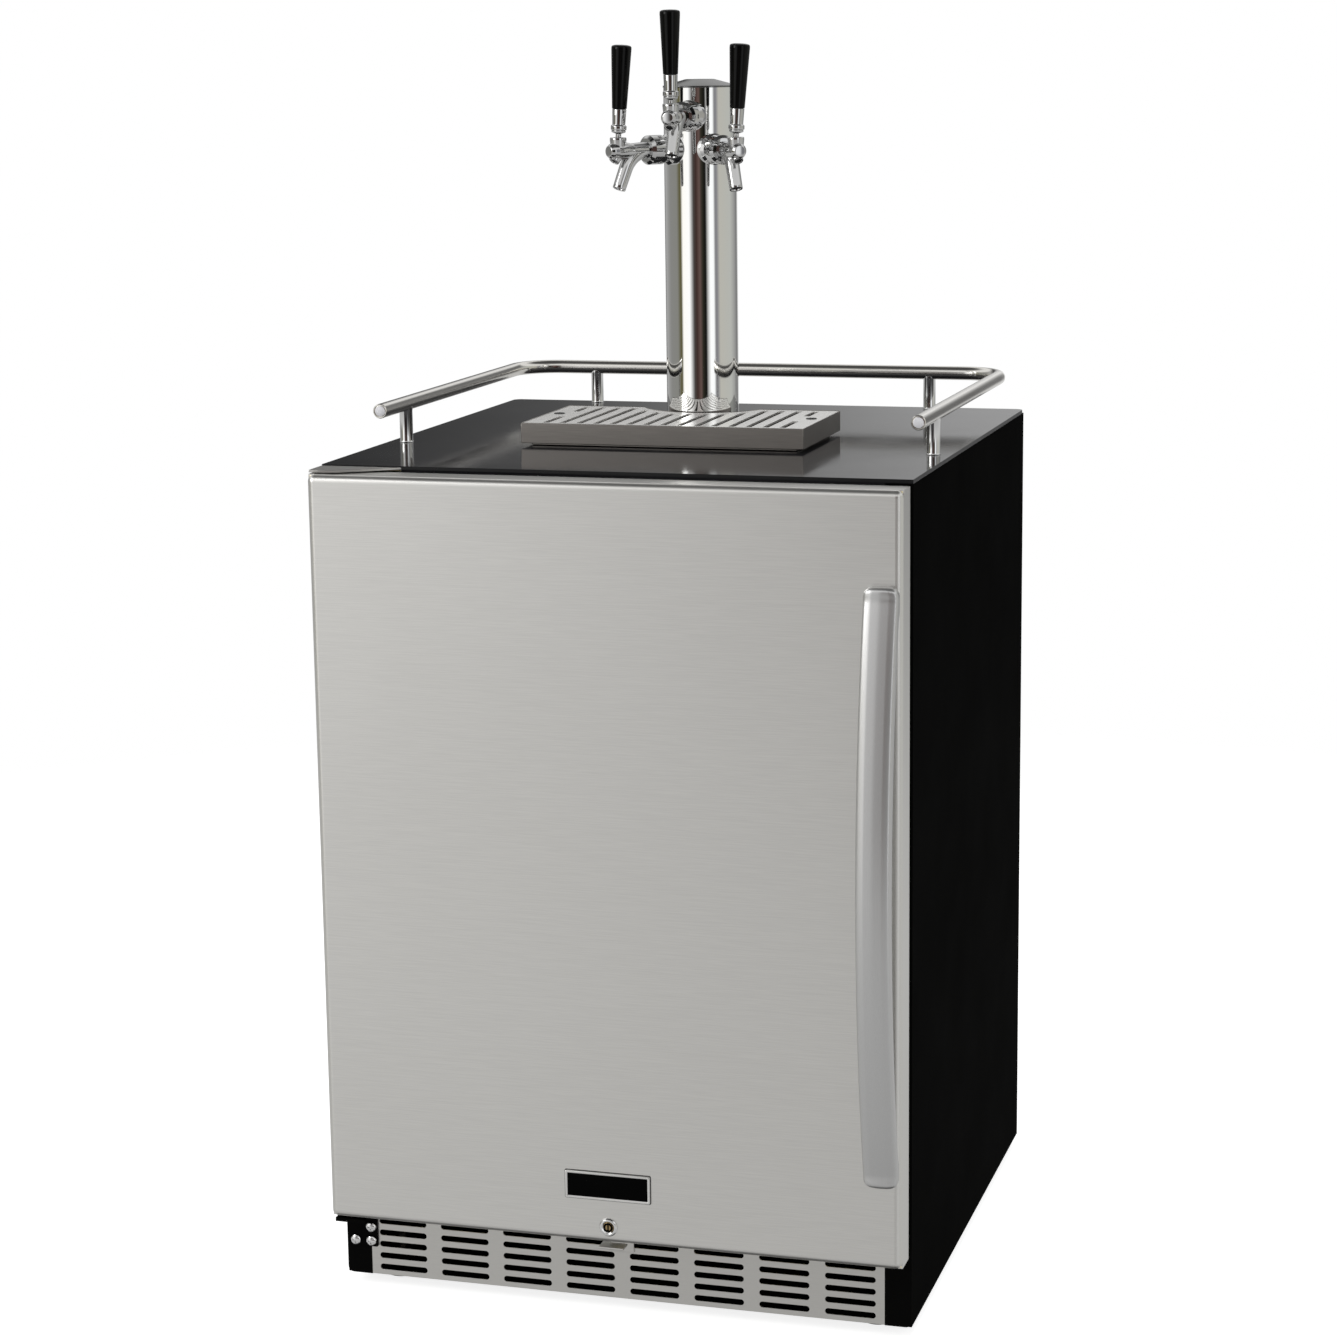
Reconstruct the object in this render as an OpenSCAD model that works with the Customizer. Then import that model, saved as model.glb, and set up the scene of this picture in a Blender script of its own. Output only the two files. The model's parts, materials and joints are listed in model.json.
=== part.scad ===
// Three-tap kegerator: an insulated cabinet with a left-hung steel door, a column
// tower with three faucets, a drip tray and a guard rail round the worktop.
// Millimetres. +Z is up, the front faces -Y, and the origin is on the floor at the
// middle of the footprint.

/* [Cabinet] */
// Width across the side panels
cab_w = 596; // [590:1:602]
// Depth from the front flange to the rear panel
cab_d = 590; // [585:1:600]
// Height of the body above the feet
cab_h = 844; // [840:1:860]
// Height of the levelling feet below the body
foot_h = 12; // [10:1:14]
// Thickness of the outer sheet metal
sheet_t = 1.5; // [1.2:0.1:2]
// Thickness of the worktop
worktop_t = 4; // [4:0.5:5]
// Thickness of the insulated side walls
wall_t = 48; // [46:1:50]

/* [Door] */
// Distance from the cabinet front to the door's outer face
door_out = 44; // [42:1:46]
// Height of the door's lower edge above the body's underside
door_low = 76; // [74:1:78]
// Rounding of the door's outer edges
door_round = 7; // [5:0.5:8]
// Reach of the handle in front of the cabinet
door_reach = 90; // [88:1:96]
// Length of the bow handle
handle_len = 588; // [560:1:600]
// Width of the bow handle
handle_w = 34; // [30:1:36]

/* [Tower] */
// Outside diameter of the column
column_d = 76; // [74:1:78]
// Height of the tower above the worktop
tower_h = 367; // [362:1:370]
// Distance of the column's axis behind the cabinet front
column_back = 335; // [330:1:340]
// Height of the middle faucet above the worktop
tap_high = 330; // [328:1:334]
// Height of the outer faucets above the worktop
tap_low = 296; // [292:1:300]
// Angle of the outer faucets from straight ahead
tap_angle = 35; // [33:1:38]
// Sideways lean of the outer tap levers
tap_lean = 3; // [0:0.5:4]

/* [Drip tray] */
// Width of the drip tray
tray_w = 298; // [295:1:310]
// Depth of the drip tray
tray_d = 162; // [160:1:164]
// Height of the drip tray's rim
tray_h = 21; // [18:1:24]

/* [Guard rail] */
// Outside diameter of the rail
rail_d = 15; // [14:0.5:16]
// Height of the rail's axis above the worktop
rail_up = 40; // [36:1:44]
// Radius of the rail's corners on its axis
rail_bend = 45; // [35:1:55]

/* [Hidden] */
$fn = 48;

// Cabinet levels and faces
half_w = cab_w / 2;
front_y = door_reach - (cab_d + door_reach) / 2;
back_y = front_y + cab_d;
top_z = foot_h + cab_h;
deck_z = top_z - worktop_t;
pan_t = 2;
pan_z = foot_h + pan_t;
return_w = 27;
grille_x = half_w - return_w;

// Keg compartment, given by the liner's outer faces
liner_t = 2;
liner_x = half_w - wall_t;
liner_floor = foot_h + 100;
liner_top = deck_z - 41;
liner_rear = back_y - 45;
step_y = liner_rear - 125;
step_z = liner_floor + 200;
flange_x = half_w - return_w;

// Machine compartment behind and below the step
foam_t = 38;
foam_floor = liner_floor - foam_t;
machine_y = step_y + 40;
machine_top = step_z - 40;

// Door
door_x = half_w - 1;
door_front = front_y - door_out;
door_rear = front_y - 10;
door_z0 = foot_h + door_low;
door_z1 = deck_z - 0.8;
skin_t = 1.2;
pivot_x = -door_x + 12;
pivot_y = front_y - 22;
pin_r = 4;
fit = 0.05;
hinge_t = 2.5;
hinge_z = deck_z + 0.3;
handle_x = 278;
handle_t = 12;
handle_z = (door_z0 + door_z1) / 2 - 2;
lock_z = door_z0 + 17;
lock_r = 9.5;
plug_r = 5;
cam_y = front_y - 20;
badge_z = door_z0 + 59.5;

// Tower and faucets
column_y = front_y + column_back;
column_r = column_d / 2;
column_wall = 1.5;
cap_h = 8.5;
cap_rim = 1.4;
shank_r = 11;
nut_r0 = 52;
nut_r1 = 72.8;
nut_d = 30;
collar_r = 12.8;
barrel_r = 8.5;
bore_r = 5;
bonnet_r = 8.8;
lever_r = 108.5;
head_r = 121.5;
pivot_up = 9;
ball_r = 6.2;
handle_foot = 33.5;
spout_d = 14.5;
spout_tilt = 24;
tap_sites = [
    [-tap_angle, top_z + tap_low],
    [0, top_z + tap_high],
    [tap_angle, top_z + tap_low]
];

// Drip tray
tray_y = front_y + 173.5;
tray_z = top_z + 3;
tray_top = tray_z + tray_h;
grate_t = 2;
notch_r = 69;
notch_y = tray_y + tray_d + 27;
slot_pitch = 17.9;
slot_w = 6.5;

// Guard rail
rail_x = half_w - 11.5 - rail_d / 2;
rail_z = top_z + rail_up;
rail_back = back_y - 12;
rail_front = front_y + 112;
post_d = 13.5;
post_front = front_y + 186;
post_x = 194;

// Inside the keg compartment
gas_x = -170;
gas_r = 55;
gas_y = liner_rear - liner_t - gas_r - 4;
gas_z = step_z + liner_t;
gas_h = 270;
valve_z = gas_z + gas_h + 5;
cooler_x = 90;
cooler_z = liner_top - 121;
cooler_y = liner_rear - liner_t - 42;
fan_x = cooler_x + 70;
dial_x = 150;
dial_y = front_y + 22;
dial_z = liner_top - 18;

// Machine compartment
comp_x = -165;
comp_y = (machine_y + back_y) / 2;
shroud_x = -55;
shroud_z = pan_z + 95;
foot_x = half_w - 43;
foot_ys = [front_y + 45, back_y - 40];

// Points on an arc of radius r from angle a0 to a1, in n steps
function arc(r, a0, a1, n = 10) =
    [for (i = [0:n], a = a0 + (a1 - a0) * i / n) r * [cos(a), sin(a)]];

// ---- shared shapes ----

module block(x0, x1, y0, y1, z0, z1) {
    translate([x0, y0, z0]) cube([x1 - x0, y1 - y0, z1 - z0]);
}

module rod(p, axis, len, r) {
    turn = axis == "x" ? [0, 90, 0] : axis == "y" ? [-90, 0, 0] : [0, 0, 0];
    translate(p) rotate(turn) cylinder(h = len, r = r);
}

module stadium(len, wid, fn = 48) {
    square([len - wid, wid], center = true);
    for (s = [-1, 1]) translate([s * (len - wid) / 2, 0]) circle(d = wid, $fn = fn);
}

// Plate across the width whose outline is drawn in Y and Z
module profile_x(points, width) {
    translate([-width / 2, 0, 0]) rotate([90, 0, 90]) linear_extrude(width) polygon(points);
}

// Box standing on its rear face with the four front edges rounded
module soft_box(hx, y0, y1, z0, z1, r) {
    block(-hx, hx, y0 + r, y1, z0, z1);
    block(-hx + r, hx - r, y0, y0 + r, z0 + r, z1 - r);
    for (s = [-1, 1]) rod([s * (hx - r), y0 + r, z0 + r], "z", z1 - z0 - 2 * r, r);
    for (z = [z0 + r, z1 - r]) {
        rod([-hx + r, y0 + r, z], "x", 2 * (hx - r), r);
        for (s = [-1, 1]) translate([s * (hx - r), y0 + r, z]) sphere(r);
    }
}

// Places its children in a faucet's own frame: origin on the column's axis, front is -Y
module at_tap(i) {
    translate([0, column_y, tap_sites[i][1]]) rotate([0, 0, tap_sites[i][0]]) children();
}

// Rod along a faucet's outward direction, from radius a to radius b
module out_rod(a, b, r1, r2) {
    translate([0, -a, 0]) rotate([90, 0, 0]) cylinder(h = b - a, r1 = r1, r2 = r2);
}

// ---- cabinet ----

module side_panel(s) {
    color([0.08, 0.08, 0.08]) difference() {
        union() {
            translate([s * (half_w - sheet_t / 2), 0, 0])
                block(-sheet_t / 2, sheet_t / 2, front_y, back_y, foot_h, deck_z);
            translate([s * (half_w - return_w / 2), 0, 0])
                block(-return_w / 2, return_w / 2, front_y, front_y + sheet_t, foot_h, deck_z);
        }
        // rounded lower corner of the front return
        translate([s * (half_w - 6), front_y - 1, foot_h + 6]) rotate([-90, 0, 0])
            difference() {
                translate([s > 0 ? 0 : -7, 0, 0]) cube([7, 7, sheet_t + 1]);
                cylinder(h = 3 * sheet_t, r = 6, center = true);
            }
    }
}

module side_panel_left() { side_panel(-1); }

module side_panel_right() { side_panel(1); }

module rear_panel() {
    color([0.1, 0.1, 0.1])
        block(-half_w + sheet_t, half_w - sheet_t, back_y - sheet_t, back_y, machine_top, deck_z);
}

module worktop() {
    corner = 9;
    color([0.03, 0.03, 0.03]) difference() {
        union() {
            block(-half_w, half_w, front_y, back_y - corner, deck_z, top_z);
            block(-half_w + corner, half_w - corner, back_y - corner, back_y, deck_z, top_z);
            for (s = [-1, 1])
                rod([s * (half_w - corner), back_y - corner, deck_z], "z", worktop_t, corner);
            block(-flange_x, flange_x, front_y, front_y + sheet_t, deck_z - 22, deck_z);
        }
        rod([0, column_y, deck_z - 1], "z", worktop_t + 2, 30);
        hinge_outline(deck_z - 1, hinge_z + hinge_t - deck_z + 1.2, 0.2);
    }
}

liner_profile = [
    [front_y, liner_floor], [step_y, liner_floor], [step_y, step_z],
    [liner_rear, step_z], [liner_rear, liner_top], [front_y, liner_top]
];
cavity_profile = [
    [front_y - 1, liner_floor + liner_t], [step_y - liner_t, liner_floor + liner_t],
    [step_y - liner_t, step_z + liner_t], [liner_rear - liner_t, step_z + liner_t],
    [liner_rear - liner_t, liner_top - liner_t], [front_y - 1, liner_top - liner_t]
];
foam_profile = [
    [front_y + sheet_t, foam_floor], [machine_y, foam_floor], [machine_y, machine_top],
    [back_y - sheet_t, machine_top], [back_y - sheet_t, deck_z], [front_y + sheet_t, deck_z]
];

module insulation() {
    color([0.9, 0.85, 0.6]) difference() {
        profile_x(foam_profile, cab_w - 2 * sheet_t);
        profile_x(liner_profile, 2 * liner_x);
        block(-liner_x, liner_x, front_y, front_y + 10, liner_floor, liner_top);
        rod([0, column_y, liner_top - 1], "z", 60, 32);
    }
}

module inner_liner() {
    color([0.85, 0.86, 0.86]) difference() {
        union() {
            profile_x(liner_profile, 2 * liner_x);
            block(-flange_x, flange_x, front_y, front_y + sheet_t, door_z0, deck_z - 22);
        }
        profile_x(cavity_profile, 2 * (liner_x - liner_t));
        rod([0, column_y, liner_top - 5], "z", 10, 32);
    }
}

module base_frame() {
    color([0.12, 0.12, 0.12]) difference() {
        union() {
            block(-half_w + sheet_t, half_w - sheet_t, front_y + sheet_t, back_y - sheet_t,
                foot_h, pan_z);
            for (s = [-1, 1], y = foot_ys) rod([s * foot_x, y, pan_z], "z", 8, 11);
        }
        for (s = [-1, 1], y = foot_ys) rod([s * foot_x, y, 0], "z", 40, pin_r + fit);
        for (i = [-2:2]) block(i * 30 - 8, i * 30 + 8, machine_y + 20, back_y - 30, 0, 20);
    }
}

module kick_grille() {
    pitch_x = 67.5;
    pitch_z = 12.4;
    color([0.7, 0.7, 0.69]) difference() {
        block(-grille_x, grille_x, front_y, front_y + 1.2, foot_h + 0.5, door_z0 - 0.5);
        for (i = [0:7], j = [0:4])
            translate([(i - 3.5) * pitch_x, front_y - 1, foot_h + 9 + j * pitch_z])
                rotate([-90, 0, 0]) linear_extrude(4) stadium(51.6, 6.2);
    }
}

module machine_cover() {
    color([0.14, 0.14, 0.14]) difference() {
        block(-half_w + sheet_t, half_w - sheet_t, back_y - sheet_t, back_y, pan_z, machine_top);
        for (s = [-1, 1], i = [0:9])
            translate([s * 130, back_y - 5, pan_z + 95 + i * 15]) rotate([-90, 0, 0])
                linear_extrude(10) stadium(150, 6);
        block(205, 255, back_y - 5, back_y + 5, 40, 72);
    }
}

module compressor() {
    color([0.07, 0.07, 0.08]) {
        block(comp_x - 75, comp_x + 75, comp_y - 52, comp_y + 52, pan_z + 8, pan_z + 11);
        for (sx = [-1, 1], sy = [-1, 1])
            rod([comp_x + sx * 63, comp_y + sy * 40, pan_z], "z", 8, 10);
        translate([comp_x, comp_y, pan_z + 11]) rotate_extrude()
            polygon(concat([[0, 0], [50, 0]], [for (p = arc(50, 0, 90)) [p[0], 70 + p[1] * 0.8]]));
        block(comp_x - 68, comp_x - 40, comp_y - 18, comp_y + 18, pan_z + 25, pan_z + 75);
    }
}

module condenser() {
    color([0.55, 0.42, 0.3]) {
        for (i = [0:13]) block(-50 + i * 10, -49 + i * 10, comp_y - 45, comp_y + 45, pan_z, pan_z + 170);
        for (j = [0:4], s = [-1, 1])
            rod([shroud_x + 3, comp_y + s * 22, pan_z + 25 + j * 30], "x", 137, 4);
    }
}

module fan_shroud() {
    color([0.1, 0.1, 0.11]) {
        difference() {
            block(shroud_x, shroud_x + 3, comp_y - 60, comp_y + 60, pan_z, pan_z + 180);
            rod([shroud_x - 1, comp_y, shroud_z], "x", 6, 50);
        }
        block(shroud_x, shroud_x + 3, comp_y - 55, comp_y + 55, shroud_z - 4, shroud_z + 4);
        rod([shroud_x - 22, comp_y, shroud_z], "x", 22, 3);
    }
}

module evaporation_pan() {
    color([0.2, 0.2, 0.2]) difference() {
        block(110, 236, machine_y + 10, back_y - 35, pan_z, pan_z + 30);
        block(113, 233, machine_y + 13, back_y - 38, pan_z + 3, pan_z + 40);
    }
}

module refrigerant_lines() {
    line_r = 3.2;
    line_y = comp_y + 22;
    dome_z = pan_z + 121;
    rise_z = pan_z + 215;
    drop_z = pan_z + 145;
    end_x = 93;
    color([0.72, 0.42, 0.25]) {
        rod([comp_x, line_y, dome_z], "z", rise_z - dome_z, line_r);
        translate([comp_x, line_y, rise_z]) sphere(line_r);
        rod([comp_x, line_y, rise_z], "x", end_x - comp_x, line_r);
        translate([end_x, line_y, rise_z]) sphere(line_r);
        rod([end_x, line_y, drop_z], "z", rise_z - drop_z, line_r);
        translate([end_x, line_y, drop_z]) sphere(line_r);
        rod([85, line_y, drop_z], "x", end_x - 85, line_r);
    }
}

module power_inlet() {
    color([0.05, 0.05, 0.05]) difference() {
        union() {
            block(205, 255, back_y - 28, back_y - sheet_t, 42, 70);
            block(205, 255, back_y - sheet_t, back_y, 42, 70);
        }
        block(217, 243, back_y - 18, back_y + 1, 48, 64);
    }
}

module evaporator_cover() {
    color([0.88, 0.89, 0.89]) {
        difference() {
            block(cooler_x - 150, cooler_x + 150, cooler_y, cooler_y + 42, cooler_z - 90, cooler_z + 90);
            block(cooler_x - 147, cooler_x + 147, cooler_y + 3, cooler_y + 43, cooler_z - 87, cooler_z + 87);
            rod([fan_x, cooler_y - 1, cooler_z], "y", 6, 42);
            for (j = [-4:4]) translate([cooler_x - 75, cooler_y - 1, cooler_z + j * 15])
                rotate([-90, 0, 0]) linear_extrude(6) stadium(110, 6);
        }
        for (a = [0, 60, 120]) translate([fan_x, cooler_y + 1.5, cooler_z]) rotate([0, a, 0])
            cube([88, 3, 4], center = true);
        rod([fan_x, cooler_y, cooler_z], "y", 27, 3);
    }
}

module thermostat_housing() {
    color([0.8, 0.81, 0.82]) {
        block(dial_x - 75, dial_x + 75, dial_y, dial_y + 60, dial_z - 16, liner_top - liner_t);
        rod([dial_x, dial_y - 12, dial_z], "y", 12, 3);
    }
}

module keg_plate() {
    plate_z = liner_floor + liner_t;
    color([0.75, 0.75, 0.75])
        block(-205, 205, front_y + 15, step_y - 12, plate_z, plate_z + 1.5);
}

// ---- worktop fittings ----

module rail_solid(r) {
    straight_x = rail_x - rail_bend;
    straight_y = rail_back - rail_bend;
    for (s = [-1, 1]) {
        rod([s * rail_x, rail_front, rail_z], "y", straight_y - rail_front, r);
        translate([s * straight_x, straight_y, rail_z]) rotate([0, 0, s > 0 ? 0 : 90])
            rotate_extrude(angle = 90) translate([rail_bend, 0]) circle(r);
    }
    rod([-straight_x, rail_back, rail_z], "x", 2 * straight_x, r);
}

module guard_rail() {
    color([0.75, 0.75, 0.76]) rail_solid(rail_d / 2);
}

module rail_posts() {
    color([0.8, 0.8, 0.82]) difference() {
        for (s = [-1, 1]) {
            rod([s * rail_x, post_front, top_z], "z", rail_up, post_d / 2);
            rod([s * post_x, rail_back, top_z], "z", rail_up, post_d / 2);
        }
        rail_solid(rail_d / 2);
    }
}

module tower_column() {
    color([0.8, 0.8, 0.82]) difference() {
        rod([0, column_y, top_z], "z", tower_h - cap_h, column_r);
        rod([0, column_y, top_z - 1], "z", tower_h, column_r - column_wall);
        for (i = [0:2]) at_tap(i) out_rod(10, column_r + 5, shank_r + 0.1, shank_r + 0.1);
    }
}

module tower_cap() {
    cap_r = column_r + 0.6;
    color([0.7, 0.7, 0.71]) translate([0, column_y, top_z + tower_h - cap_h]) rotate_extrude()
        polygon([[0, 0], [cap_r, 0], [cap_r, cap_rim], [14, cap_h], [0, cap_h]]);
}

module tap_shanks() {
    color([0.78, 0.78, 0.8]) for (i = [0:2]) at_tap(i) difference() {
        union() {
            out_rod(22, 60, shank_r, shank_r);
            out_rod(10, 22, 4, 4);
        }
        out_rod(5, 61, 2.5, 2.5);
    }
}

module shank_flanges() {
    color([0.75, 0.75, 0.77]) for (i = [0:2]) at_tap(i) difference() {
        union() {
            out_rod(30, 44, 16, 16);
            out_rod(44, 47, 16, 13);
        }
        out_rod(5, 60, shank_r + 0.1, shank_r + 0.1);
        translate([0, 0, -40]) cylinder(h = 80, r = column_r);
    }
}

module coupling_nuts() {
    color([0.8, 0.8, 0.82]) for (i = [0:2]) at_tap(i) difference() {
        union() {
            out_rod(nut_r0, nut_r0 + 2, nut_d / 2 - 2, nut_d / 2);
            out_rod(nut_r0 + 2, nut_r1 - 3, nut_d / 2, nut_d / 2);
            out_rod(nut_r1 - 3, nut_r1, nut_d / 2, nut_d / 2 - 3);
        }
        out_rod(nut_r0 - 1, 61, shank_r + 0.1, shank_r + 0.1);
        out_rod(60.5, nut_r1 - 3.5, collar_r + 0.2, collar_r + 0.2);
        out_rod(60, nut_r1 + 1, barrel_r + 0.2, barrel_r + 0.2);
        // spanner holes round the nut
        for (a = [30:60:330]) rotate([0, a, 0]) translate([0, -(nut_r0 + 8), nut_d / 2 - 1.4])
            cylinder(h = 4, r = 2.5);
    }
}

// Curved root of the spout at radius r, and its straight run a little slimmer
module spout(r, extra = 0) {
    bend = 30.7;
    run = 22;
    lean = 90 - spout_tilt;
    root_r = lever_r - 37.2;
    translate([0, -root_r, -bend]) rotate([90, 0, 90]) rotate([0, 0, 90])
        rotate_extrude(angle = lean) translate([bend, 0]) circle(r);
    translate([0, -root_r - bend * sin(lean), -bend + bend * cos(lean)])
        rotate([-spout_tilt, 0, 0]) translate([0, 0, -run - extra])
            cylinder(h = run + extra, r = r - 0.2);
}

module faucet(i) {
    color([0.8, 0.8, 0.82]) at_tap(i) difference() {
        union() {
            out_rod(60.6, nut_r1 - 4, collar_r, collar_r);
            out_rod(nut_r1 - 4, lever_r - 16, barrel_r, barrel_r - 1);
            out_rod(lever_r - 16, lever_r - 8, barrel_r - 1, barrel_r + 0.5);
            out_rod(lever_r - 8, lever_r + 6, barrel_r + 0.5, barrel_r + 0.5);
            out_rod(lever_r + 6, head_r - 3, barrel_r + 0.5, 6);
            out_rod(head_r - 3, head_r, 6, 5);
            translate([0, -lever_r, 0]) cylinder(h = pivot_up + 3, r1 = bonnet_r - 1.4, r2 = bonnet_r);
            translate([0, -lever_r, pivot_up + 3]) cylinder(h = 2, r1 = bonnet_r, r2 = bonnet_r - 0.6);
            spout(spout_d / 2);
        }
        out_rod(50, head_r - 5, bore_r, bore_r);
        spout(bore_r - 0.5, 1);
        translate([0, -lever_r, pivot_up]) {
            sphere(ball_r + 0.4);
            translate([0, 0, 1]) cylinder(h = 5, r1 = ball_r, r2 = 8);
        }
    }
}

module faucet_left() { faucet(0); }

module faucet_centre() { faucet(1); }

module faucet_right() { faucet(2); }

// Places its children on a faucet's lever ball; the outer levers lean to the right
module on_ball(i) {
    at_tap(i) translate([0, -lever_r, pivot_up])
        rotate([0, 0, -tap_sites[i][0]]) rotate([0, i == 1 ? 0 : tap_lean, 0]) children();
}

// Heights in the lever and its handle are measured up from the ball's middle
module tap_lever(i) {
    color([0.8, 0.8, 0.82]) on_ball(i) {
        sphere(ball_r);
        translate([0, 0, -11]) cylinder(h = 8, r = 1.8);
        cylinder(h = 11, r = 2.8);
        translate([0, 0, 10.5]) cylinder(h = 1.5, r1 = 6.5, r2 = 8);
        translate([0, 0, 12]) cylinder(h = 5, r = 8);
        translate([0, 0, 17]) cylinder(h = 1.5, r1 = 8, r2 = 6.8);
        translate([0, 0, 18.5]) cylinder(h = handle_foot - 18.5, r1 = 6.8, r2 = 7.3);
    }
}

module tap_lever_left() { tap_lever(0); }

module tap_lever_centre() { tap_lever(1); }

module tap_lever_right() { tap_lever(2); }

module tap_handle(i) {
    foot_r = 7.7;
    crown_r = 10.4;
    color([0.02, 0.02, 0.02]) on_ball(i) translate([0, 0, handle_foot]) rotate_extrude()
        polygon(concat([[0, 0], [foot_r, 0], [8.2, 18], [9.2, 38], [crown_r, 58.5]],
            [for (p = arc(crown_r - 0.4, 10, 90, 6)) [p[0], 59 + p[1] * 0.55]]));
}

module tap_handle_left() { tap_handle(0); }

module tap_handle_centre() { tap_handle(1); }

module tap_handle_right() { tap_handle(2); }

// Plan outline shared by the tray and its grate, shrunk by a margin
module tray_plan(m) {
    difference() {
        translate([-tray_w / 2 + m, tray_y + m]) square([tray_w - 2 * m, tray_d - 2 * m]);
        translate([0, notch_y]) circle(notch_r + m);
    }
}

module drip_tray() {
    color([0.62, 0.6, 0.57]) difference() {
        union() {
            translate([0, 0, tray_z]) linear_extrude(tray_h) tray_plan(0);
            translate([0, 0, top_z + 0.3]) linear_extrude(3) tray_plan(9);
        }
        translate([0, 0, tray_z + 1.2]) linear_extrude(tray_h) tray_plan(1.2);
    }
}

module drip_grate() {
    slots = 15;
    color([0.68, 0.67, 0.65]) difference() {
        translate([0, 0, tray_top - grate_t - 0.4]) linear_extrude(grate_t) difference() {
            tray_plan(1.6);
            intersection() {
                for (i = [0:slots - 1]) translate([(i - (slots - 1) / 2) * slot_pitch, tray_y + tray_d / 2])
                    square([slot_w, tray_d], center = true);
                tray_plan(9);
            }
        }
        for (s = [-1, 1]) rod([s * (tray_w / 2 - 13), tray_y + 88, tray_z], "z", 40, 4.5);
    }
    // bars that join the end slots round the finger holes
    color([0.68, 0.67, 0.65]) for (s = [-1, 1])
        translate([s * (slots - 1) / 2 * slot_pitch, tray_y + 88, tray_top - 0.4 - grate_t / 2])
            cube([slot_w, 44, grate_t], center = true);
}

// ---- hinges and lock on the cabinet ----

// Upper hinge plate's outline, drawn with a margin m, from z up by h
module hinge_outline(z, h, m) {
    translate([0, 0, z]) linear_extrude(h)
        polygon([
            [-half_w - m, pivot_y - 12 - m], [pivot_x + 14 + m, pivot_y - 12 - m],
            [-flange_x + 58 + m, front_y + 1], [-flange_x + 58 + m, front_y + 32 + m],
            [-half_w - m, front_y + 32 + m]
        ]);
}

module hinge_plate() {
    color([0.5, 0.5, 0.5]) {
        hinge_outline(hinge_z, hinge_t, 0);
        rod([pivot_x, pivot_y, hinge_z - 15], "z", 15, pin_r);
    }
}

module hinge_bracket() {
    leaf_z = door_z0 - 8;
    color([0.06, 0.06, 0.06]) {
        difference() {
            block(-half_w + 2, -grille_x + 7, front_y - 3, front_y, foot_h + 31, leaf_z);
            for (p = lower_screws) rod([p[0], front_y - 5, p[1]], "y", 8, 2.6);
        }
        block(-half_w + 2, -grille_x + 7, pivot_y - 13, front_y, leaf_z, leaf_z + 4);
        rod([pivot_x, pivot_y, leaf_z + 4], "z", 18, pin_r);
    }
}

lower_screws = [
    [-half_w + 11, foot_h + 37.5], [-half_w + 28, foot_h + 37.5], [-half_w + 28, foot_h + 52.5]
];

module hinge_screws() {
    color([0.8, 0.8, 0.82]) for (p = lower_screws) {
        rod([p[0], front_y - 3, p[1]], "y", 3, 2.5);
        translate([p[0], front_y - 3, p[1]]) rotate([90, 0, 0]) cylinder(h = 1.6, r = 5.5);
        translate([p[0], front_y - 4.6, p[1]]) rotate([90, 0, 0]) cylinder(h = 1.4, r1 = 5.5, r2 = 3.6);
    }
}

module lock_strike() {
    leaf_z = door_z0 - 9;
    color([0.75, 0.75, 0.75]) difference() {
        union() {
            block(-13, 13, front_y - 2, front_y, leaf_z - 16, leaf_z + 2);
            block(-13, 13, front_y - 38, front_y, leaf_z, leaf_z + 2);
        }
        block(-5.5, 14, cam_y - 3, cam_y + 5, leaf_z - 1, leaf_z + 3);
    }
}

// ---- gas supply ----

module co2_cylinder() {
    neck_r = 16;
    color([0.75, 0.77, 0.78]) translate([gas_x, gas_y, gas_z]) rotate_extrude()
        polygon(concat([[0, 6], [gas_r - 12, 0], [gas_r - 4, 0], [gas_r, 6]],
            [for (p = arc(1, 0, 72, 8)) [p[0] * gas_r, gas_h - 60 + p[1] * 48]],
            [[neck_r, gas_h - 8], [neck_r, gas_h], [0, gas_h]]));
}

module co2_valve() {
    color([0.75, 0.6, 0.3]) {
        rod([gas_x, gas_y, gas_z + gas_h], "z", 5, 14);
        rod([gas_x, gas_y, valve_z], "z", 40, 12);
        rod([gas_x, gas_y - 34, valve_z + 20], "y", 30, 8);
        rod([gas_x, gas_y, valve_z + 40], "z", 16, 3);
    }
}

module valve_wheel() {
    color([0.1, 0.1, 0.1]) translate([gas_x, gas_y, valve_z + 42]) difference() {
        union() {
            cylinder(h = 12, r = 20);
            translate([0, 0, 12]) cylinder(h = 3, r1 = 20, r2 = 16);
        }
        translate([0, 0, -1]) cylinder(h = 15.5, r = 3 + fit);
        for (a = [0:45:315]) rotate([0, 0, a]) translate([22, 0, -1]) cylinder(h = 20, r = 5);
    }
}

module co2_strap() {
    band_z = gas_z + 160;
    color([0.3, 0.3, 0.32]) {
        difference() {
            rod([gas_x, gas_y, band_z], "z", 20, gas_r + 1.5);
            rod([gas_x, gas_y, band_z - 1], "z", 22, gas_r + 0.1);
        }
        block(gas_x - 30, gas_x + 30, gas_y + gas_r + 1, liner_rear - liner_t, band_z, band_z + 20);
    }
}

module regulator() {
    reg_y = gas_y - 34;
    reg_z = valve_z + 20;
    color([0.78, 0.65, 0.35]) {
        rod([gas_x, reg_y - 16, reg_z], "y", 16, 13);
        rod([gas_x - 25, reg_y - 34, reg_z], "x", 50, 17);
        rod([gas_x - 24, reg_y - 34, reg_z], "z", 30, 5);
        rod([gas_x - 24, reg_y - 34 - 8, reg_z + 50], "y", 16, 22);
        rod([gas_x + 24, reg_y - 34, reg_z], "x", 20, 5);
        rod([gas_x + 60, reg_y - 34 - 8, reg_z], "y", 16, 22);
        rod([gas_x, reg_y - 34, reg_z - 38], "z", 25, 4);
    }
}

// ---- door ----

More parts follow.
